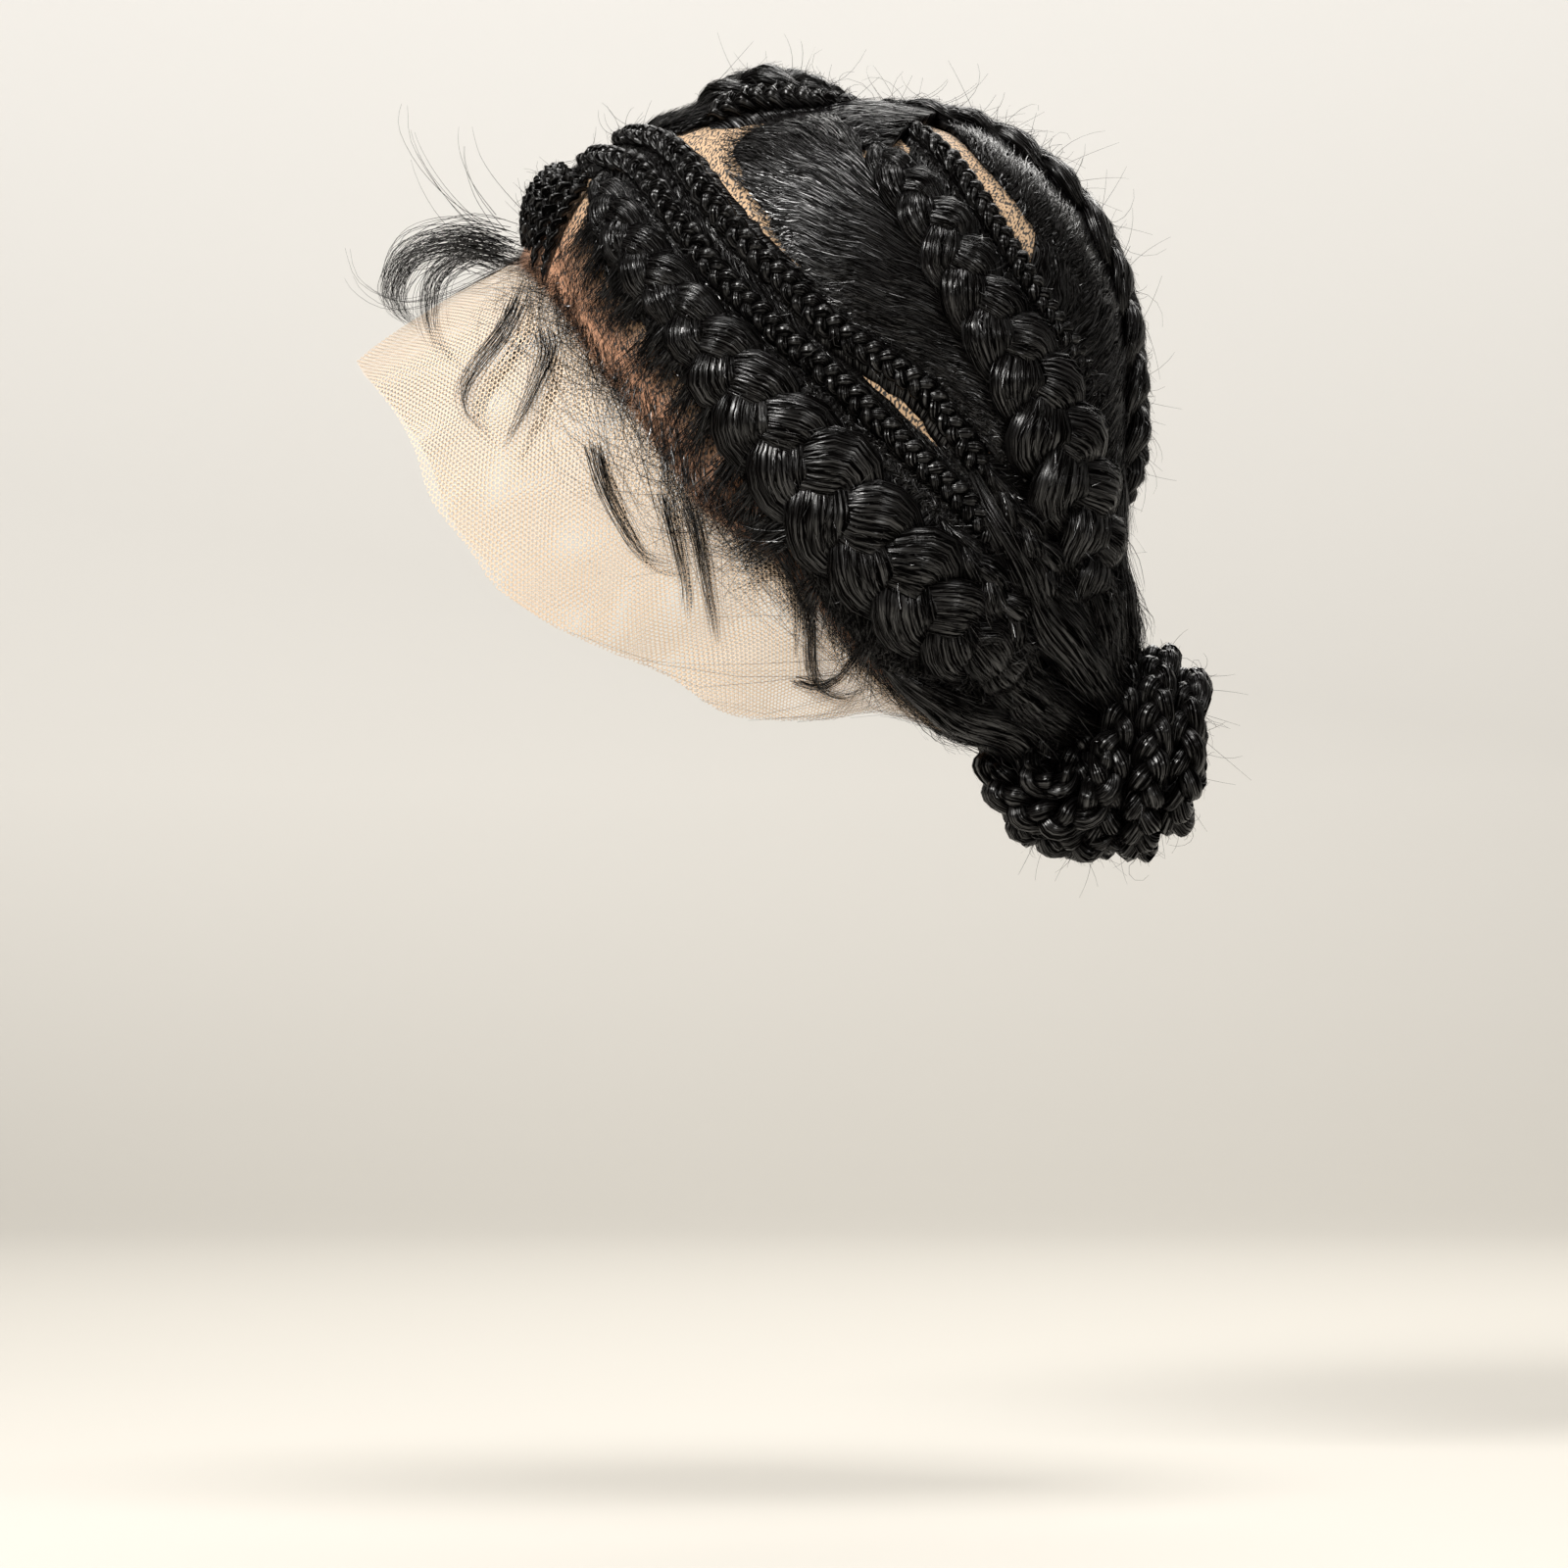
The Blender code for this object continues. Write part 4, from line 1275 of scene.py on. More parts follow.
@dataclass
class Plait:
    """One cornrow braid or thin row, seated on the lace."""

    name: str
    table: Rows
    hand: Hand
    weave: Weave
    half_width: float
    height: float
    hairs: int
    seed: float
    solid: bool = True
    row_spread: float = 1.45
    plies: Plies | None = None

    def build(self, finishes: Finishes, rng: np.random.Generator) -> None:
        """Make the plies and the hairs that lie along them.

        Args:
            finishes: the wig's materials.
            rng: source of the variation.
        """
        route = Route(self.table, self.half_width, self.height)
        self.plies = Plies(route, self.weave.value, self.seed)
        big, loose = self.weave is Weave.BRAID, self.weave is Weave.LOOSE
        finish = finishes.hair if big or loose else finishes.row
        body = patch_mesh(self.name + "_plies", self.plies.patches(), self.hand)
        dress(body, finish, "hair", *((self.name,) if self.solid else ()))
        if self.solid:
            self.bed(route, finish)
        thin = 0.00012 if big or loose else 0.00009
        steps = 6 if loose else 5
        lift = 0.0050 if loose else 0.0026 if big else 0.0016
        paths, leans = self.plies.hairs(self.hairs, steps, (0.5, 1.7), lift, rng)
        taper = np.linspace(1.0, 0.35, steps)[None, :] * rng.uniform(0.7, 1.2, len(paths))[:, None]
        item = ribbon_mesh(self.name + "_hairs", paths, thin * taper, leans, self.hand)
        dress(item, finishes.strand, "hair")

    def bed(self, route: Route, finish: bpy.types.Material) -> None:
        """Make the hair drawn in from both sides under the plait.

        Args:
            route: path of the plait.
            finish: material of the bed.
        """
        big = self.weave is Weave.BRAID
        spread = 1.0 if big else self.row_spread
        run = np.linspace(0.0, route.length, max(int(route.length / 0.0035), 8))[:, None]
        side = np.linspace(-1.0, 1.0, 11)[None, :]
        half = route.read(route.half, run[:, 0])[:, None] * spread
        tall = route.read(route.tall, run[:, 0])[:, None] * (0.50 if big else 0.36)
        ragged = 1.0 + 0.08 * ripple(run * 900.0 + 3.0 * side, self.seed, 5)
        ends = np.clip(np.minimum(run, route.length - run) / 0.006, 0.0, 1.0) ** 0.5
        up = tall * (1.0 - side ** 2) * ends - 0.0004 * side ** 8
        points = route.at(run + 0.0 * side, half * side * ragged * (0.3 + 0.7 * ends), up)
        uv = np.stack([half * np.abs(side) * 1.3 + run * 0.5, run - 0.6 * half * np.abs(side)], -1)
        body = patch_mesh(self.name + "_bed", [Patch(points, uv)], self.hand, weld=False)
        self.face_out(body)
        dress(body, finish, "hair")

    @staticmethod
    def face_out(item: bpy.types.Object) -> None:
        """Turn a bed's faces away from the head.

        Args:
            item: the bed.
        """
        bm = bmesh.new()
        bm.from_mesh(item.data)
        middle = Vector((0.0, 0.0, -HEAD.crown_rise))
        if sum(f.normal.dot(f.calc_center_median() - middle) for f in bm.faces) < 0.0:
            bmesh.ops.reverse_faces(bm, faces=bm.faces)
        bm.to_mesh(item.data)
        bm.free()


@dataclass
class CombedHair:
    """Hair combed flat over the lace, from a part line or hair edge into a braid."""

    name: str
    first: np.ndarray
    second: np.ndarray
    hand: Hand
    heights: tuple[float, float, float]
    strands: int
    overlap: float = 0.0
    bare: Rows = ((0.0, 0.03), (1.0, 0.03))
    fuzz: float = 0.0012
    seed: float = 0.0
    ragged: float = 0.02

    def place(self, along: np.ndarray, across: np.ndarray, lift: np.ndarray | float) -> np.ndarray:
        """Places on the combed hair.

        Args:
            along: share along the two edges.
            across: share from the first edge to the second.
            lift: height above the hair.

        Returns:
            The places in space.
        """
        low, middle, high = self.heights
        start, end = between(along, self.first), between(along, self.second)
        points = start + (end - start) * across[..., None]
        inner = np.clip(across, 0.0, 1.0)
        edge = low + (high - low) * inner
        full = edge + (middle - edge) * 4.0 * inner * (1.0 - inner)
        fade = 0.35 + 0.65 * np.clip(np.minimum(along, 1.0 - along) / 0.10, 0.0, 1.0)
        return HEAD.lift(points, LACE_TOP + 0.0005 + full * fade + lift)

    def starts(self, along: np.ndarray) -> np.ndarray:
        """Share from the first edge at which the hair starts."""
        rows = np.array(self.bare)
        return np.interp(along, rows[:, 0], rows[:, 1])

    def build(self, finishes: Finishes, rng: np.random.Generator, node: str = "") -> None:
        """Make the bed of hair and the hairs combed over it.

        Args:
            finishes: the wig's materials.
            rng: source of the variation.
            node: CAD node that the hair stands for, where it has one.
        """
        along = np.linspace(0.0, 1.0, 52)[:, None]
        share = np.linspace(0.0, 1.0, 16)[None, :]
        start = self.starts(along)
        across = start + (1.0 + self.overlap - start) * share
        reach = across + self.ragged * ripple(along * 160.0, self.seed, 6) * (1.0 - share)
        flat = along + 0.0 * across
        wave = 0.0003 * ripple(along * 150.0 + 1.4 * across, self.seed + 1.0, 5)
        top = self.place(flat, reach, wave - 0.0010 * (1.0 - share) ** 6)
        base, normals = HEAD.project(self.place(flat, reach, 0.0))
        under = (base + normals * (LACE_TOP + 0.0002))[:, ::-3]
        ring = np.concatenate([top, under, top[:, :1]], axis=1)
        span = np.linalg.norm(self.second - self.first, axis=1).mean()
        length = np.linalg.norm(np.diff(self.first, axis=0), axis=1).sum()
        u = np.concatenate([across, across[:, ::-3], across[:, :1]], 1) * span
        wobble = 0.0016 * np.sin(u * 190.0 + self.seed) + 0.0008 * np.sin(u * 420.0 + 40.0 * along)
        v = along * length + wobble
        uv = np.stack([u + 0.0 * v, v], -1)
        body = patch_mesh(self.name + "_bed", [Patch(ring, uv)], self.hand)
        self.close(body)
        dress(body, finishes.combed, "hair", *((node,) if node else ()))
        self.comb(finishes, rng)

    @staticmethod
    def close(item: bpy.types.Object) -> None:
        """Close the two open ends of a bed of hair.

        Args:
            item: the bed.
        """
        bm = bmesh.new()
        bm.from_mesh(item.data)
        edges = [edge for edge in bm.edges if edge.is_boundary]
        bmesh.ops.holes_fill(bm, edges=edges, sides=0)
        bmesh.ops.recalc_face_normals(bm, faces=bm.faces)
        bm.to_mesh(item.data)
        bm.free()

    def comb(self, finishes: Finishes, rng: np.random.Generator) -> None:
        """Lay single hairs over the bed.

        Args:
            finishes: the wig's materials.
            rng: source of the variation.
        """
        steps = 5
        count = self.strands
        share = np.linspace(0.0, 1.0, steps)[None, :]
        along = rng.uniform(0.0, 1.0, count)[:, None]
        first = self.starts(along)
        start = rng.uniform(-0.03, 0.75, count)[:, None] * rng.uniform(0.0, 1.0, count)[:, None]
        span = rng.uniform(0.22, 0.60, count)[:, None]
        roots = rng.uniform(0.0, 1.0, count)[:, None] < 0.16
        start = np.where(roots, rng.uniform(-0.11, 0.0, count)[:, None], start)
        span = np.where(roots, span * 0.35, span)
        across = first + (1.0 - first) * np.minimum(start + span * share, 1.0 + self.overlap)
        drift = rng.normal(0.0, 0.016, count)[:, None]
        wave = 0.006 * np.sin(across * 17.0 + along * 31.0 + self.seed)
        wave = wave + 0.003 * np.sin(across * 41.0 + rng.uniform(0, 6.3, count)[:, None])
        path = np.clip(along + drift * share + wave, 0.0, 1.0)
        lift = 0.00015 + self.fuzz * rng.uniform(0.0, 1.0, count)[:, None] ** 3 * share ** 2
        paths = self.place(path, across, lift)
        leans = unit(HEAD.project(paths)[1] + rng.normal(0.0, 0.30, (count, 1, 3)))
        widths = 0.00015 * np.linspace(1.0, 0.4, steps)[None, :]
        widths = widths * rng.uniform(0.7, 1.3, count)[:, None]
        item = ribbon_mesh(self.name + "_hairs", paths, widths, leans, self.hand)
        dress(item, finishes.strand, "hair")


@dataclass
class Tufts:
    """Furry tufts that feed into a braid's lower edge from the hair edge."""

    name: str
    inner: np.ndarray
    outer: np.ndarray
    hand: Hand
    tufts: int = 15
    hairs: int = 170
    reach: tuple[float, float] = (0.008, 0.020)

    def build(self, finishes: Finishes, rng: np.random.Generator) -> None:
        """Make the tufts.

        Args:
            finishes: the wig's materials.
            rng: source of the variation.
        """
        steps = 5
        share = np.linspace(0.0, 1.0, steps)[None, :, None]
        made = []
        for k in range(self.tufts):
            place = (k + rng.uniform(0.2, 0.8)) / self.tufts
            spread = 0.17 / self.tufts
            along = np.clip(place + rng.normal(0.0, spread, self.hairs), 0.0, 1.0)
            tip = np.clip(place + 0.25 / self.tufts + (along - place) * 0.7, 0.0, 1.0)
            root, far = between(along, self.inner), between(tip, self.outer)
            way = unit(far - root)
            size = rng.uniform(*self.reach, self.hairs)[:, None] * rng.uniform(0.75, 1.15)
            start = root - way * 0.004
            fall = rng.normal(0.0, 0.25, (self.hairs, 1, 3)) * size[:, None]
            path = start[:, None] + way[:, None] * (size[:, None] + 0.004) * share
            path = path + fall * share ** 1.8
            high = rng.uniform(0.2, 1.0, self.hairs)[:, None]
            lift = LACE_TOP + 0.0008 + 0.0070 * high * (1.0 - share[..., 0] ** 1.6)
            lift = lift + 0.0035 * rng.uniform(0.0, 1.0, self.hairs)[:, None] ** 2 * share[..., 0]
            made.append(HEAD.lift(path, lift))
        paths = np.concatenate(made)
        widths = 0.00015 * np.linspace(1.0, 0.3, steps)[None, :] * np.ones((len(paths), 1))
        leans = unit(HEAD.project(paths)[1] + rng.normal(0.0, 0.50, (len(paths), 1, 3)))
        item = ribbon_mesh(self.name, paths, widths, leans, self.hand)
        dress(item, finishes.strand, "hair")


@dataclass
class Gather:
    """Loose locks that sweep from the braids' ends into the bun."""

    half_width: float = 0.0094
    thickness: float = 0.0125
    hairs: int = 230

    def build(self, finishes: Finishes, rng: np.random.Generator) -> None:
        """Make the locks and their fuzz on both sides.

        Args:
            finishes: the wig's materials.
            rng: source of the variation.
        """
        for hand, word in SIDES:
            locks = [Lock(table, self.half_width, self.thickness, 2.0 + 1.7 * i)
                     for i, table in enumerate(LOCKS)]
            body = patch_mesh("gathered_locks_" + word, [lock.patch() for lock in locks], hand)
            CombedHair.close(body)
            dress(body, finishes.hair, "hair")
            pairs = [lock.hairs(self.hairs, rng) for lock in locks]
            paths = np.concatenate([pair[0] for pair in pairs])
            leans = np.concatenate([pair[1] for pair in pairs])
            widths = 0.00012 * np.linspace(1.0, 0.35, paths.shape[1])[None, :]
            widths = widths * rng.uniform(0.7, 1.3, len(paths))[:, None]
            item = ribbon_mesh("gathered_hairs_" + word, paths, widths, leans, hand)
            dress(item, finishes.strand, "hair")


@dataclass
class Bun:
    """Nape bun wound from cords of plaited hair around a core."""

    cord_radius: float = 0.0066
    radius: float = 0.0338
    depth: float = 0.0127
    setback: float = 0.0012
    drop_share: float = 0.915
    cords: list[Plies] = field(default_factory=list)

    def place(self, back: float, drop: float) -> Vector:
        """Point on the bun's middle plane, by shares of its depth and its radius."""
        return Vector((
            0.0,
            HEAD.half_length + self.setback + back * self.depth,
            -HEAD.crown_rise - HEAD.nape_drop * self.drop_share - drop * self.radius,
        ))

    def build(self, finishes: Finishes, rng: np.random.Generator) -> None:
        """Make the cords, their hairs and the core.

        Args:
            finishes: the wig's materials.
            rng: source of the variation.
        """
        patches = []
        for i, (back, drop, share, tilt) in enumerate(COILS):
            ring = coil_route(self.place(back, drop), self.radius * share, tilt,
                              self.cord_radius)
            cord = Plies(ring, Weave.CORD.value, 1.0 + i * 1.9, ends=False)
            self.cords.append(cord)
            patches.extend(cord.patches())
        body = patch_mesh("bun_cords", patches, Hand.LEFT)
        nodes = ["bun_coil_%d" % (i + 1) for i in range(len(COILS))]
        dress(body, finishes.row, "hair", *nodes)
        self.core(finishes)
        self.hairs("bun_hairs", self.cords, Hand.LEFT, finishes, rng)
        for hand, word in SIDES:
            loops = self.side_loops()
            patches = [patch for loop in loops for patch in loop.patches()]
            body = patch_mesh("bun_side_cords_" + word, patches, hand)
            dress(body, finishes.row, "hair")
            self.hairs("bun_side_hairs_" + word, loops, hand, finishes, rng)

    def side_loops(self) -> list[Plies]:
        """Cords that curve over the side of the bun.

        Returns:
            The cords.
        """
        loops = []
        middle = np.array(self.place(-0.6, 0.15))
        for i, table in enumerate(LOOPS):
            points = smooth_rows(table, 200) / 1000.0
            out = unit((points - middle) * np.array([2.0, 1.0, 1.0]))
            route = CurveRoute(points, out, self.cord_radius * (0.95, 0.80, 1.0)[i])
            loops.append(Plies(route, Weave.CORD.value, 3.0 + i * 2.3))
        return loops

    @staticmethod
    def hairs(name: str, cords: list[Plies], hand: Hand, finishes: Finishes,
              rng: np.random.Generator) -> None:
        """Make the hairs that lie along some cords.

        Args:
            name: name of the piece.
            cords: the cords.
            hand: side of the wig.
            finishes: the wig's materials.
            rng: source of the variation.
        """
        steps = 5
        pairs = [cord.hairs(int(3600 * cord.route.length), steps, (0.5, 1.8), 0.0022, rng)
                 for cord in cords]
        paths = np.concatenate([pair[0] for pair in pairs])
        leans = np.concatenate([pair[1] for pair in pairs])
        taper = np.linspace(1.0, 0.35, steps)[None, :] * rng.uniform(0.7, 1.2, len(paths))[:, None]
        item = ribbon_mesh(name, paths, 0.00010 * taper, leans, hand)
        dress(item, finishes.strand, "hair")

    def core(self, finishes: Finishes) -> None:
        """Make the wound hair inside the cords.

        Args:
            finishes: the materials.
        """
        stations = (
            (-2.60, 0.20, 0.30), (-2.10, 0.26, 0.50), (-1.55, 0.22, 0.62), (-1.00, 0.15, 0.72),
            (-0.50, 0.10, 0.74), (0.00, 0.02, 0.80), (1.00, 0.02, 0.78), (1.60, 0.03, 0.60),
            (2.05, 0.03, 0.40), (2.20, 0.03, 0.02),
        )
        rows = smooth_rows(stations, 46)
        turn = np.linspace(0.0, 2.0 * math.pi, 61)[None, :]
        share = rows[:, 2:3] * (1.0 + 0.03 * np.sin(9.0 * turn) + 0.03 * np.sin(14.0 * turn + 1.0))
        middle = np.array([self.place(back, drop) for back, drop in rows[:, :2]])
        out = np.stack([np.sin(turn), 0.0 * turn, np.cos(turn)], -1)
        points = middle[:, None] + out * (share * self.radius)[..., None]
        u = turn * self.radius + 0.0 * share
        v = rows[:, 0:1] * self.depth + 0.0 * turn
        body = patch_mesh("bun_wound_core", [Patch(points, np.stack([u, v], -1))], Hand.LEFT)
        CombedHair.close(body)
        dress(body, finishes.row, "hair", "bun_core")


@dataclass
class BabyHair:
    """Soft curls and short fine hairs along the hair edge, lying over the lace."""

    lace: LaceBase
    width: float = 0.00013

    def curls(self, rng: np.random.Generator) -> np.ndarray:
        """Hairs of the drawn curls.

        Args:
            rng: source of the variation.

        Returns:
            The hairs: hair by place by space.
        """
        steps = 13
        made = []
        for places, count, spread in CURLS:
            line = smooth_rows(places, 80) / 1000.0
            for _ in range(count):
                start = rng.uniform(0.0, 0.10)
                end = rng.uniform(0.62, 1.0)
                share = np.linspace(start, end, steps)
                path = between(share, line)
                size = spread / 1000.0
                near = rng.normal(0.0, size, 2) * (1.0 - share[:, None]) ** 0.9 * 0.7
                far = rng.normal(0.0, size * 0.24, 2) * share[:, None]
                curve = rng.normal(0.0, size * 0.35, 2) * np.sin(math.pi * share)[:, None]
                path = path + near + far + curve
                out = 0.0008 + 0.0035 * rng.uniform(0.2, 1.0) * np.sin(math.pi * share) ** 0.8
                hair = self.over(path[:, 0], path[:, 1], out)
                shift = 0.020 * rng.uniform(0.0, 1.0)
                hair[:, 0] += shift * np.clip(1.0 - hair[:, 0] / 0.035, 0.0, 1.0)
                made.append(hair)
        return np.array(made)

    def over(self, back: np.ndarray, up: np.ndarray, out: np.ndarray) -> np.ndarray:
        """Places over the lace, kept even where a hair leaves its edge.

        Args:
            back: places back from the crown seat.
            up: places up from the crown seat.
            out: heights over the lace.

        Returns:
            The places.
        """
        places = self.lace.beside(back, up, out)
        kernel = np.ones(5) / 5.0
        padded = np.pad(places[:, 0], 2, mode="edge")
        places[:, 0] = np.convolve(padded, kernel, mode="valid")
        return places

    def fringe(self, count: int, reach: tuple[float, float], span: tuple[float, float],
               deep: float, rng: np.random.Generator) -> tuple[np.ndarray, np.ndarray]:
        """Short fine hairs that fall from the hair edge over the lace.

        Args:
            count: how many hairs.
            reach: least and most length in metres.
            span: shares of the hair edge that they cover.
            deep: how far behind the edge the roots reach, in rings of the lace.
            rng: source of the variation.

        Returns:
            The hairs, hair by place by space, and the directions that they face.
        """
        steps = 7
        grid, leans = self.lace.grid, self.lace.leans
        edge = self.lace.dome_rings
        columns, rings = grid.shape[:2]
        share = np.linspace(0.0, 1.0, steps)[None, :]
        column = rng.uniform(*span, count)[:, None] * (columns - 1)
        length = rng.uniform(0.0, 1.0, count)[:, None] ** 1.8 * (reach[1] - reach[0]) + reach[0]
        margin = np.linalg.norm(grid[:, -1] - grid[:, edge], axis=1)
        width = np.interp(column, np.arange(columns), margin)
        fall = np.minimum(length / np.maximum(width, 0.006), 1.15)
        ring = edge - deep * rng.uniform(0, 1, count)[:, None] ** 1.5
        ring = ring + fall * share * (rings - 1 - edge)
        bend = rng.normal(0.35, 1.3, count)[:, None] * length / 0.0028
        column = column + bend * share ** 1.7 + rng.normal(0, 0.5, count)[:, None] * share
        column = np.clip(column, 0.0, columns - 1.001)
        ring = np.clip(ring, 0.0, rings - 1.001)
        lift = 0.0003 + 0.003 * rng.uniform(0.0, 1.0, count)[:, None] * np.sin(math.pi * share * 0.8)
        away = self.read(leans, column, ring)
        return self.read(grid, column, ring) + away * lift[..., None], away

    @staticmethod
    def read(grid: np.ndarray, column: np.ndarray, ring: np.ndarray) -> np.ndarray:
        """Values of the lace's grid between its rows and columns.

        Args:
            grid: values at the grid's own points.
            column: places between the columns.
            ring: places between the rings.

        Returns:
            The values at those places.
        """
        i, j = column.astype(int), ring.astype(int)
        s, t = (column - i)[..., None], (ring - j)[..., None]
        low = grid[i, j] * (1 - t) + grid[i, j + 1] * t
        high = grid[i + 1, j] * (1 - t) + grid[i + 1, j + 1] * t
        return low * (1 - s) + high * s

    def build(self, finishes: Finishes, rng: np.random.Generator) -> None:
        """Make the curls and short hairs of both sides.

        Args:
            finishes: the wig's materials.
            rng: source of the variation.
        """
        for hand, word in SIDES:
            curls = inside_box(self.curls(rng))
            taper = np.linspace(1.0, 0.30, curls.shape[1])[None, :]
            item = tube_mesh("baby_curls_" + word, curls, self.width * taper, hand)
            dress(item, finishes.strand, "hair")
            kinds = ((700, (0.003, 0.010), (0.0, 0.97), 2.0), (500, (0.004, 0.010), (0.1, 0.80), 8.0),
                     (420, (0.010, 0.034), (0.02, 0.93), 2.0))
            pairs = [self.fringe(*kind, rng) for kind in kinds]
            short = np.concatenate([pair[0] for pair in pairs])
            away = np.concatenate([pair[1] for pair in pairs])
            widths = self.width * 0.8 * np.linspace(1.0, 0.30, short.shape[1])[None, :]
            widths = widths * np.ones((len(short), 1))
            item = ribbon_mesh("hairline_" + word, short, widths, away, hand)
            dress(item, finishes.strand, "hair")


def inside_box(paths: np.ndarray) -> np.ndarray:
    """Hairs that stay close around the wig.

    Args:
        paths: hair by place by space.

    Returns:
        The hairs that do.
    """
    low, high = (np.array(corner) for corner in CAD_BOX)
    room = 0.03 * (high - low) + 0.008
    good = ((paths > low - room) & (paths < high + room)).all(axis=(1, 2))
    return paths[good]


@dataclass
class Flyaways:
    """Fine frizz that stands off the braids, the rows and the bun."""

    width: float = 0.000075
    steps: int = 6

    def off(self, plies: Plies, count: int, reach: tuple[float, float],
            rng: np.random.Generator) -> np.ndarray:
        """Frizz that stands off a plait.

        Args:
            plies: the plait.
            count: how many hairs.
            reach: least and most length in metres.
            rng: source of the variation.

        Returns:
            The hairs: hair by place by space.
        """
        turn = rng.uniform(0.2, max(plies.last - 0.2, 0.3), count)
        phi = rng.uniform(0.15, math.pi - 0.15, count)
        if not plies.ends:
            phi = rng.uniform(-0.4, math.pi + 0.4, count)
        ply = rng.integers(0, 3, count)
        root = plies.surface(turn, phi, ply)
        lean = unit(plies.surface(turn, phi, ply, 0.001) - root)
        ahead = unit(plies.surface(np.clip(turn + 0.15, 0, plies.last), phi, ply) - root)
        return self.curved(root, lean, ahead, reach, rng)

    def curved(self, root: np.ndarray, lean: np.ndarray, ahead: np.ndarray,
               reach: tuple[float, float], rng: np.random.Generator) -> np.ndarray:
        """Curved hairs from their roots.

        Args:
            root: root of each hair.
            lean: outward direction at each root.
            ahead: direction that the hair lies in.
            reach: least and most length in metres.
            rng: source of the variation.

        Returns:
            The hairs: hair by place by space.
        """
        count = len(root)
        length = reach[0] + (reach[1] - reach[0]) * rng.uniform(0, 1, count)[:, None, None] ** 4.0
        share = np.linspace(0.0, 1.0, self.steps)[None, :, None]
        stray = rng.normal(0.0, 0.45, (count, 1, 3))
        way = unit(lean[:, None] * rng.uniform(0.15, 0.9, (count, 1, 1))
                   + ahead[:, None] * rng.uniform(-0.3, 1.0, (count, 1, 1)) + stray)
        bend = unit(np.cross(way, rng.normal(0.0, 1.0, (count, 1, 3))))
        turn = rng.normal(0.0, 1.9, (count, 1, 1))
        path = root[:, None] + way * length * np.sinc(turn * share / math.pi) * share
        path = path + bend * length * (1.0 - np.cos(turn * share)) / np.where(
            np.abs(turn) < 0.2, 0.2, turn)
        return path

    def build(self, name: str, paths: np.ndarray, finishes: Finishes, hand: Hand) -> None:
        """Make one piece of the frizz.

        Args:
            name: name of the piece.
            paths: hair by place by space.
            finishes: the wig's materials.
            hand: side of the wig.
        """
        paths = inside_box(paths)
        widths = self.width * np.linspace(1.0, 0.4, paths.shape[1])[None, :]
        widths = widths * np.ones((len(paths), 1))
        way = np.gradient(paths, axis=1)
        leans = unit(np.cross(way, np.cross(way, np.array([1.0, 0.23, 0.35]))))
        dress(ribbon_mesh(name, paths, widths, leans, hand), finishes.strand, "hair")


@dataclass
class Studio:
    """Pale floor and backdrop with painted shade towards the floor, soft light and the camera at the
    wig's left side.
    """

    floor: float = -0.4557
    look: tuple[float, float, float] = (2.6, -0.0065, -0.22165)
    lens: float = 180.0
    # Tones of the paper from the floor up to the top: the darker low and middle tones are painted
    # shade
    low: Colour = (0.46, 0.44, 0.40)
    middle: Colour = (0.69, 0.67, 0.63)
    high: Colour = (0.90, 0.89, 0.87)

    def sweep(self) -> None:
        """Floor that turns up into the backdrop."""
        angle = np.linspace(0.0, math.pi / 2.0, 14)
        profile = [(2.4, 0.0)] + [
            (-1.5 - 0.8 * math.sin(a), 0.8 - 0.8 * math.cos(a)) for a in angle
        ] + [(-2.3, 3.4)]
        across = np.linspace(-4.0, 4.0, 5)
        points = np.array([[(x, y, self.floor + z) for y in across] for x, z in profile])
        uv = points[..., :2].copy()
        item = patch_mesh("studio_sweep", [Patch(points, uv)], Hand.MIDDLE, weld=False)
        graph = Graph("paper_with_painted_shade")
        place = graph.node("TexCoord", {}).outputs["Object"]
        height = graph.node("SeparateXYZ", {"Vector": place}).outputs["Z"]
        # Painted shade: the paper's tone darkens from the top down to the floor
        rise = graph.ramp(height, self.floor, 0.35)
        tone = graph.tones(rise, (0.0, self.low), (0.29, self.middle), (1.0, self.high))
        graph.feed(graph.shader, {"Roughness": 0.9, "Base Color": tone})
        item.data.materials.append(graph.material)

    def lamp(self, name: str, place: tuple[float, float, float], size: float, power: float,
             colour: tuple[float, float, float]) -> None:
        """Soft square lamp that faces the wig.

        Args:
            name: name of the lamp.
            place: where it stands.
            size: length of its sides.
            power: power in watts.
            colour: colour of the light.
        """
        data = bpy.data.lights.new(name, "AREA")
        data.size = size
        data.energy = power
        data.color = colour
        item = bpy.data.objects.new(name, data)
        item.location = place
        aim = Vector((0.0, 0.0, -0.12)) - Vector(place)
        item.rotation_euler = aim.to_track_quat("-Z", "Y").to_euler()
        bpy.context.scene.collection.objects.link(item)

    def build(self) -> None:
        """Set the stage, the light and the camera."""
        self.sweep()
        self.lamp("key_light", (1.6, -1.0, 1.2), 0.6, 78.0, (1.0, 0.98, 0.95))
        self.lamp("top_light", (0.2, 0.2, 1.9), 0.9, 36.0, (1.0, 0.98, 0.96))
        self.lamp("fill_light", (1.9, 1.4, 0.4), 0.6, 14.0, (1.0, 0.98, 0.95))
        self.lamp("back_light", (-1.2, 0.3, 0.9), 1.0, 20.0, (1.0, 0.98, 0.95))
        world = bpy.data.worlds.new("studio_air")
        world.use_nodes = True
        air = world.node_tree.nodes["Background"]
        air.inputs["Color"].default_value = (1.0, 0.97, 0.93, 1.0)
        air.inputs["Strength"].default_value = 0.20
        bpy.context.scene.world = world
        bpy.context.scene.view_settings.view_transform = "Standard"
        data = bpy.data.cameras.new("photo_view")
        data.lens = self.lens
        data.sensor_width = 36.0
        camera = bpy.data.objects.new("photo_view", data)
        camera.location = self.look
        camera.rotation_euler = (math.radians(90.0), 0.0, math.radians(90.0))
        bpy.context.scene.collection.objects.link(camera)
        bpy.context.scene.camera = camera


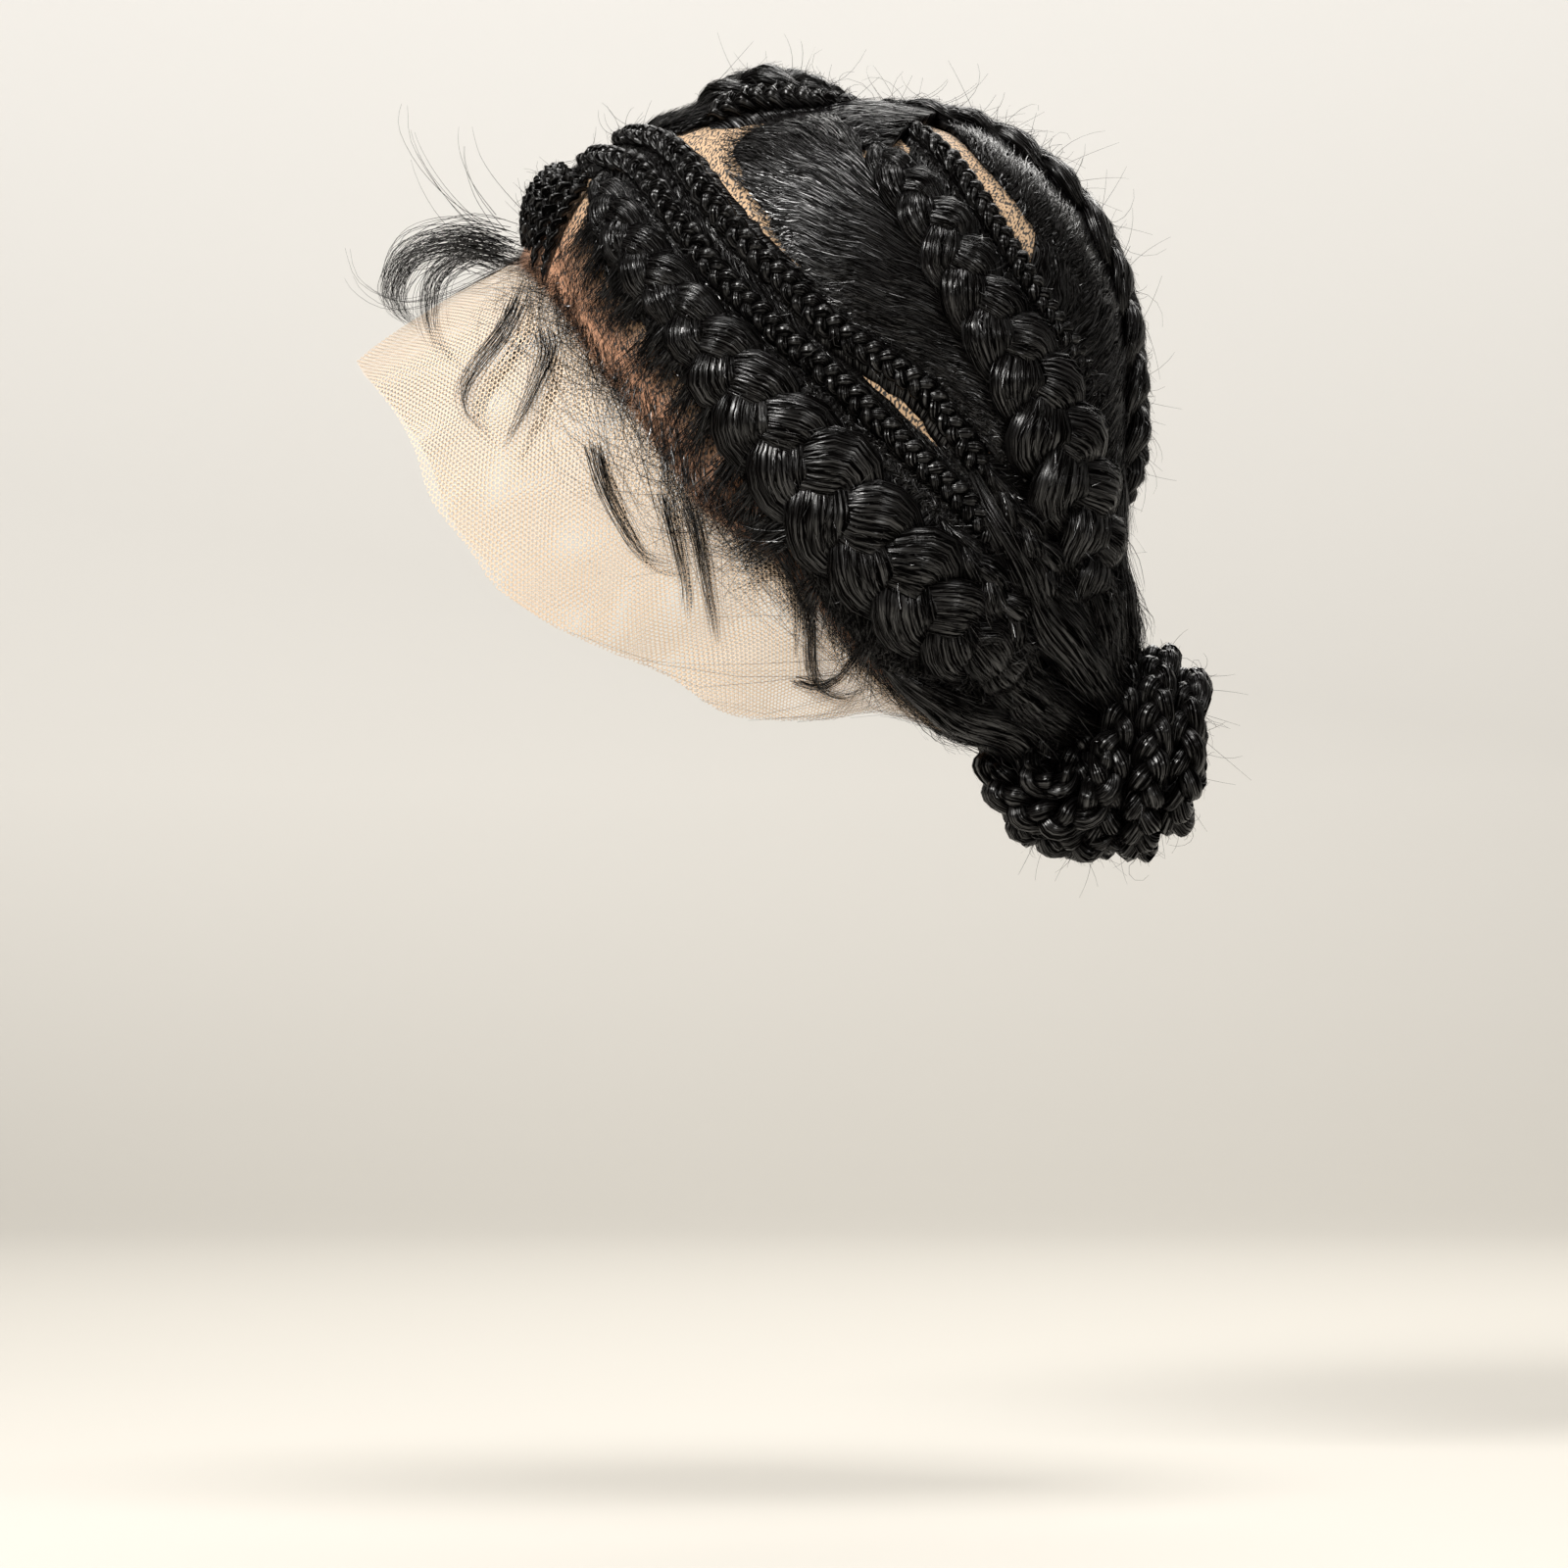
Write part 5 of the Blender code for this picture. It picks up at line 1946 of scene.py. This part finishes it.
def edge_points(table: Rows, count: int) -> np.ndarray:
    """Evenly spaced points of the head form along a table of shares.

    Args:
        table: shares of the head form.
        count: number of points.

    Returns:
        Points, one a row.
    """
    padded = tuple(tuple(row[:3]) + (1.0, 1.0) for row in table)
    route = Route(padded, 1.0, 1.0)
    return route.read(route.points, np.linspace(0.0, route.length, count))


def braid_edge(table: Rows, half_width: float, start: float, end: float, count: int,
               way: float = 1.0) -> np.ndarray:
    """Points along the outer edge of a braid, over a share of its length.

    Args:
        table: route of the braid.
        half_width: its widest half width.
        start: share of the length at which the edge starts.
        end: share at which it ends.
        count: how many points.
        way: 1 for the edge on the route's near side, -1 for the other.

    Returns:
        The points.
    """
    route = Route(table, half_width, 1.0)
    run = np.linspace(start, end, count) * route.length
    across = route.read(route.half, run) * way
    return route.read(route.points, run) + route.read(route.sides, run) * across[:, None]


def hair_edge(start: float, end: float, count: int) -> np.ndarray:
    """Points of the head form along the edge of the hair, by shares of its length.

    Args:
        start: share where the points start.
        end: share where they end.
        count: number of points.

    Returns:
        Points, one a row.
    """
    rows = smooth_rows(EDGES, 400)
    points = HEAD.place(rows[:, :3])[0]
    return between(np.linspace(start, end, count), points)


def both_sides(table: Rows) -> Rows:
    """The table from its outer end to the centre, then on to the other side."""
    other = [(-row[0],) + tuple(row[1:]) for row in reversed(table[:-1])]
    return tuple(table) + tuple(other)


@dataclass
class BraidWig:
    """The whole wig: lace, braids, thin rows, combed hair, bun and fine hairs."""

    braid_half_width: float = 0.020
    braid_height: float = 0.0118
    row_half_width: float = 0.0049
    row_height: float = 0.0054
    forehead_height: float = 1.7
    pad: float = 0.0030
    plaits: list[Plait] = field(default_factory=list)

    def lay_plaits(self, finishes: Finishes, rng: np.random.Generator) -> None:
        """Make the big braids and the thin rows.

        Args:
            finishes: the wig's materials.
            rng: source of the variation.
        """
        wide, tall = self.braid_half_width, self.braid_height
        thin, low = self.row_half_width, self.row_height
        for hand, word, shift in ((Hand.LEFT, "_left", 0.0), (Hand.RIGHT, "_right", 5.0)):
            self.plaits += [
                Plait("front_braid" + word, FRONT_ROUTE, hand, Weave.BRAID, wide, tall,
                      3000, 1.0 + shift),
                Plait("rear_braid" + word, REAR_ROUTE, hand, Weave.BRAID, wide, tall,
                      2500, 2.0 + shift),
                Plait("lower_row" + word, LOWER_ROW, hand, Weave.ROW, thin, low, 900, 3.0 + shift),
                Plait("upper_row" + word, UPPER_ROW, hand, Weave.ROW, thin, low, 800, 4.0 + shift),
                Plait("back_row" + word, BACK_ROW, hand, Weave.TWIST, thin, low, 600, 5.0 + shift),
                Plait("crown_row" + word, CROWN_ROW, hand, Weave.ROW, thin, low, 200, 6.0 + shift),
            ]
            for i, row in enumerate(TEMPLE_ROWS):
                name = "temple_row%s_%d" % (word, i + 1)
                self.plaits.append(Plait(name, self.forehead(row), hand, Weave.TWIST, thin * 0.50,
                                         low * (1.30 - 0.25 * i), 130, 4.0 + 1.3 * i + shift,
                                         solid=False))
            for i, table in enumerate(NAPE_STRANDS):
                self.plaits.append(Plait("nape_strand%s_%d" % (word, i + 1), table, hand, Weave.LOOSE,
                                         thin * 1.50, low * 2.0, 650, 2.0 + 1.9 * i + shift,
                                         solid=False))
            for i, row in enumerate(FOREHEAD_ROWS[1:]):
                name = "forehead_row%s_%d" % (word, i + 1)
                self.plaits.append(Plait(name, self.forehead(row), hand, Weave.TWIST, thin * 0.70,
                                         low * self.forehead_height, 140, 7.0 + i + shift))
        self.plaits += [
            Plait("forehead_row_centre", self.forehead(FOREHEAD_ROWS[0]), Hand.MIDDLE,
                  Weave.TWIST, thin * 0.70, low * self.forehead_height, 140, 7.3),
            Plait("centre_braid", CENTRE_ROUTE, Hand.MIDDLE, Weave.BRAID, wide, tall, 2400, 8.0),
            Plait("crown_braid", CROWN_ROUTE, Hand.MIDDLE, Weave.BRAID, wide, tall, 1100, 9.0),
        ]
        for plait in self.plaits:
            plait.build(finishes, rng)

    @staticmethod
    def forehead(row: tuple[float, ...]) -> Rows:
        """Route of a short forehead row from its two ends.

        Args:
            row: the first end's three values, then the second end's.

        Returns:
            The route's rows.
        """
        start, end = row[:3], row[3:]
        middle = tuple((a + b) / 2.0 for a, b in zip(start, end))
        return (start + (0.25, 0.18), middle + (1.0, 0.95), end + (0.9, 1.0))

    def comb(self, finishes: Finishes, rng: np.random.Generator) -> None:
        """Make the combed hair between the braids.

        Args:
            finishes: the wig's materials.
            rng: source of the variation.
        """
        wide, thin, pad = self.braid_half_width * 0.80, self.row_half_width * 0.8, self.pad
        strip = ((0.0, 0.0), (0.48, 0.0), (0.56, 0.60), (0.84, 0.66), (0.93, 0.05), (1.0, 0.0))
        hem = tuple((k / 40.0, 0.88 - 0.12 * abs(math.sin(k * 1.19))) for k in range(41))
        full = ((0.0, 0.0), (1.0, 0.0))
        rounded = ((0.0, 0.34), (0.04, 0.16), (0.12, 0.03), (0.5, 0.0), (0.88, 0.03), (0.96, 0.16),
                   (1.0, 0.34))
        for hand, word, seed in ((Hand.LEFT, "_left", 1.0), (Hand.RIGHT, "_right", 4.0)):
            CombedHair("combed_panel" + word, edge_points(PANEL_EDGE, 40),
                       braid_edge(REAR_ROUTE, wide, 0.02, 0.66, 40), hand,
                       (0.0010, pad, pad), 4000, 0.05, ((0.0, 0.01), (1.0, 0.01)), 0.0014, seed
                       ).build(finishes, rng, "combed_panel" + word)
            CombedHair("back_hair" + word, edge_points(BACK_EDGE, 30),
                       braid_edge(CENTRE_ROUTE, wide, 0.12, 0.66, 30), hand,
                       (0.0010, pad, pad * 1.4), 1500, 0.10, full, 0.0018, seed + 1.0
                       ).build(finishes, rng, "back_hair" + word)
            CombedHair("side_hair" + word, hair_edge(0.165, 0.66, 40),
                       braid_edge(FRONT_ROUTE, wide, 0.06, 0.60, 40), hand,
                       (0.0010, 0.0024, pad), 500, 0.10, hem, 0.0030, seed + 2.0, 0.03
                       ).build(finishes, rng, "side_hair" + word)
            Tufts("side_tufts" + word, braid_edge(FRONT_ROUTE, wide, 0.04, 0.80, 40),
                  hair_edge(0.155, 0.76, 40), hand).build(finishes, rng)
            CombedHair("nape_hair" + word, hair_edge(0.668, 0.895, 24),
                       braid_edge(FRONT_ROUTE, wide, 0.61, 0.99, 24), hand,
                       (0.0010, pad * 1.6, pad * 2.0), 1500, 0.10, ((0.0, 0.12), (1.0, 0.05)),
                       0.0060, seed + 3.0, 0.06).build(finishes, rng, "nape_hair" + word)
            CombedHair("braid_gap" + word, braid_edge(LOWER_ROW, thin, 0.20, 0.98, 32),
                       braid_edge(FRONT_ROUTE, wide, 0.02, 0.94, 32, -1.0), hand,
                       (0.0012, 0.0024, 0.0046), 1100, 0.06, full, 0.0016, seed + 4.0
                       ).build(finishes, rng)
            CombedHair("row_gap" + word, braid_edge(UPPER_ROW, thin, 0.10, 0.98, 32),
                       braid_edge(LOWER_ROW, thin, 0.10, 0.93, 32, -1.0), hand,
                       (0.0010, 0.0014, 0.0026), 500, 0.05, strip, 0.0010, seed + 5.0
                       ).build(finishes, rng)
            CombedHair("rear_gap" + word, braid_edge(BACK_ROW, thin, 0.06, 0.98, 32),
                       braid_edge(REAR_ROUTE, wide, 0.06, 0.70, 32, -1.0), hand,
                       (0.0012, 0.0024, 0.0046), 600, 0.05, full, 0.0014, seed + 6.0
                       ).build(finishes, rng)
            CombedHair("back_gap" + word, edge_points(BACK_EDGE, 30)[14:],
                       braid_edge(BACK_ROW, thin, 0.52, 0.98, 16, -1.0), hand,
                       (0.0020, 0.0022, 0.0026), 260, 0.05, full, 0.0012, seed + 7.0
                       ).build(finishes, rng)
            CombedHair("back_low" + word, braid_edge(REAR_ROUTE, wide, 0.46, 0.97, 24, -1.0),
                       braid_edge(CENTRE_ROUTE, wide, 0.52, 0.98, 24), hand,
                       (0.0040, 0.0042, 0.0044), 700, 0.08, full, 0.0024, seed + 9.0
                       ).build(finishes, rng)
            CombedHair("gather_gap" + word, braid_edge(FRONT_ROUTE, wide, 0.60, 0.99, 24, -1.0),
                       braid_edge(REAR_ROUTE, wide, 0.62, 0.99, 24), hand,
                       (0.0010, 0.0016, 0.0016), 400, 0.05, full, 0.0030, seed + 8.0
                       ).build(finishes, rng)
        CombedHair("crown_hair", edge_points(both_sides(CROWN_EDGE), 30),
                   edge_points(both_sides(CROWN_END), 30), Hand.MIDDLE,
                   (0.0010, pad * 1.1, pad * 2.3), 1300, 0.10, rounded, 0.0020, 9.0, 0.05
                   ).build(finishes, rng, "crown_hair")
        CombedHair("top_gap", edge_points(both_sides(TOP_START), 24),
                   edge_points(both_sides(TOP_END), 24), Hand.MIDDLE,
                   (0.0016, 0.0034, 0.0038), 900, 0.05, rounded, 0.0022, 10.0, 0.06
                   ).build(finishes, rng)
        CombedHair("nape_hair_back", edge_points(both_sides(UNDER_TOP), 24),
                   edge_points(both_sides(UNDER_END), 24), Hand.MIDDLE,
                   (0.0044, 0.0070, 0.0080), 900, 0.08, full, 0.0044, 13.0
                   ).build(finishes, rng)
        CombedHair("brow_gap", edge_points(both_sides(BROW_EDGE), 30),
                   edge_points(both_sides(BROW_END), 30), Hand.MIDDLE,
                   (0.0010, 0.0020, 0.0030), 300, 0.06,
                   ((0.0, 0.96), (0.25, 0.88), (0.35, 0.55), (0.65, 0.55), (0.75, 0.88), (1.0, 0.96)),
                   0.0024, 12.0).build(finishes, rng)
        CombedHair("nape_hair_centre", edge_points(both_sides(NAPE_EDGE), 24),
                   edge_points(both_sides(NAPE_TOP), 24), Hand.MIDDLE,
                   (0.0010, pad * 2.6, pad * 2.4), 1300, 0.05, ((0.0, 0.05), (1.0, 0.05)),
                   0.0050, 11.0).build(finishes, rng, "nape_hair_centre")

    def frizz(self, bun: Bun, finishes: Finishes, rng: np.random.Generator) -> None:
        """Make the frizz that stands off the plaits.

        Args:
            bun: the nape bun.
            finishes: the wig's materials.
            rng: source of the variation.
        """
        air = Flyaways()
        for hand, word in SIDES + ((Hand.MIDDLE, "middle"),):
            made = []
            for plait in self.plaits:
                if plait.hand is hand and plait.plies is not None:
                    big = plait.weave is Weave.BRAID
                    reach = (0.003, 0.026) if big else (0.002, 0.014)
                    amount = int(plait.plies.route.length * (2600 if big else 1100))
                    made.append(air.off(plait.plies, amount, reach, rng))
            air.build("frizz_" + word, np.concatenate(made), finishes, hand)
        made = [air.off(cord, int(cord.route.length * 1300), (0.003, 0.022), rng)
                for cord in bun.cords]
        air.build("frizz_bun", np.concatenate(made), finishes, Hand.LEFT)


def main() -> None:
    """Build the dressed wig and its studio, in order."""
    logging.basicConfig(level=logging.INFO, format="%(message)s")
    rng = np.random.default_rng(2407)
    Studio().build()
    finishes = Finishes()
    lace = LaceBase()
    lace.build(finishes)
    wig = BraidWig()
    wig.lay_plaits(finishes, rng)
    wig.comb(finishes, rng)
    Gather().build(finishes, rng)
    bun = Bun()
    bun.build(finishes, rng)
    BabyHair(lace).build(finishes, rng)
    wig.frizz(bun, finishes, rng)


if __name__ == "__main__":
    main()
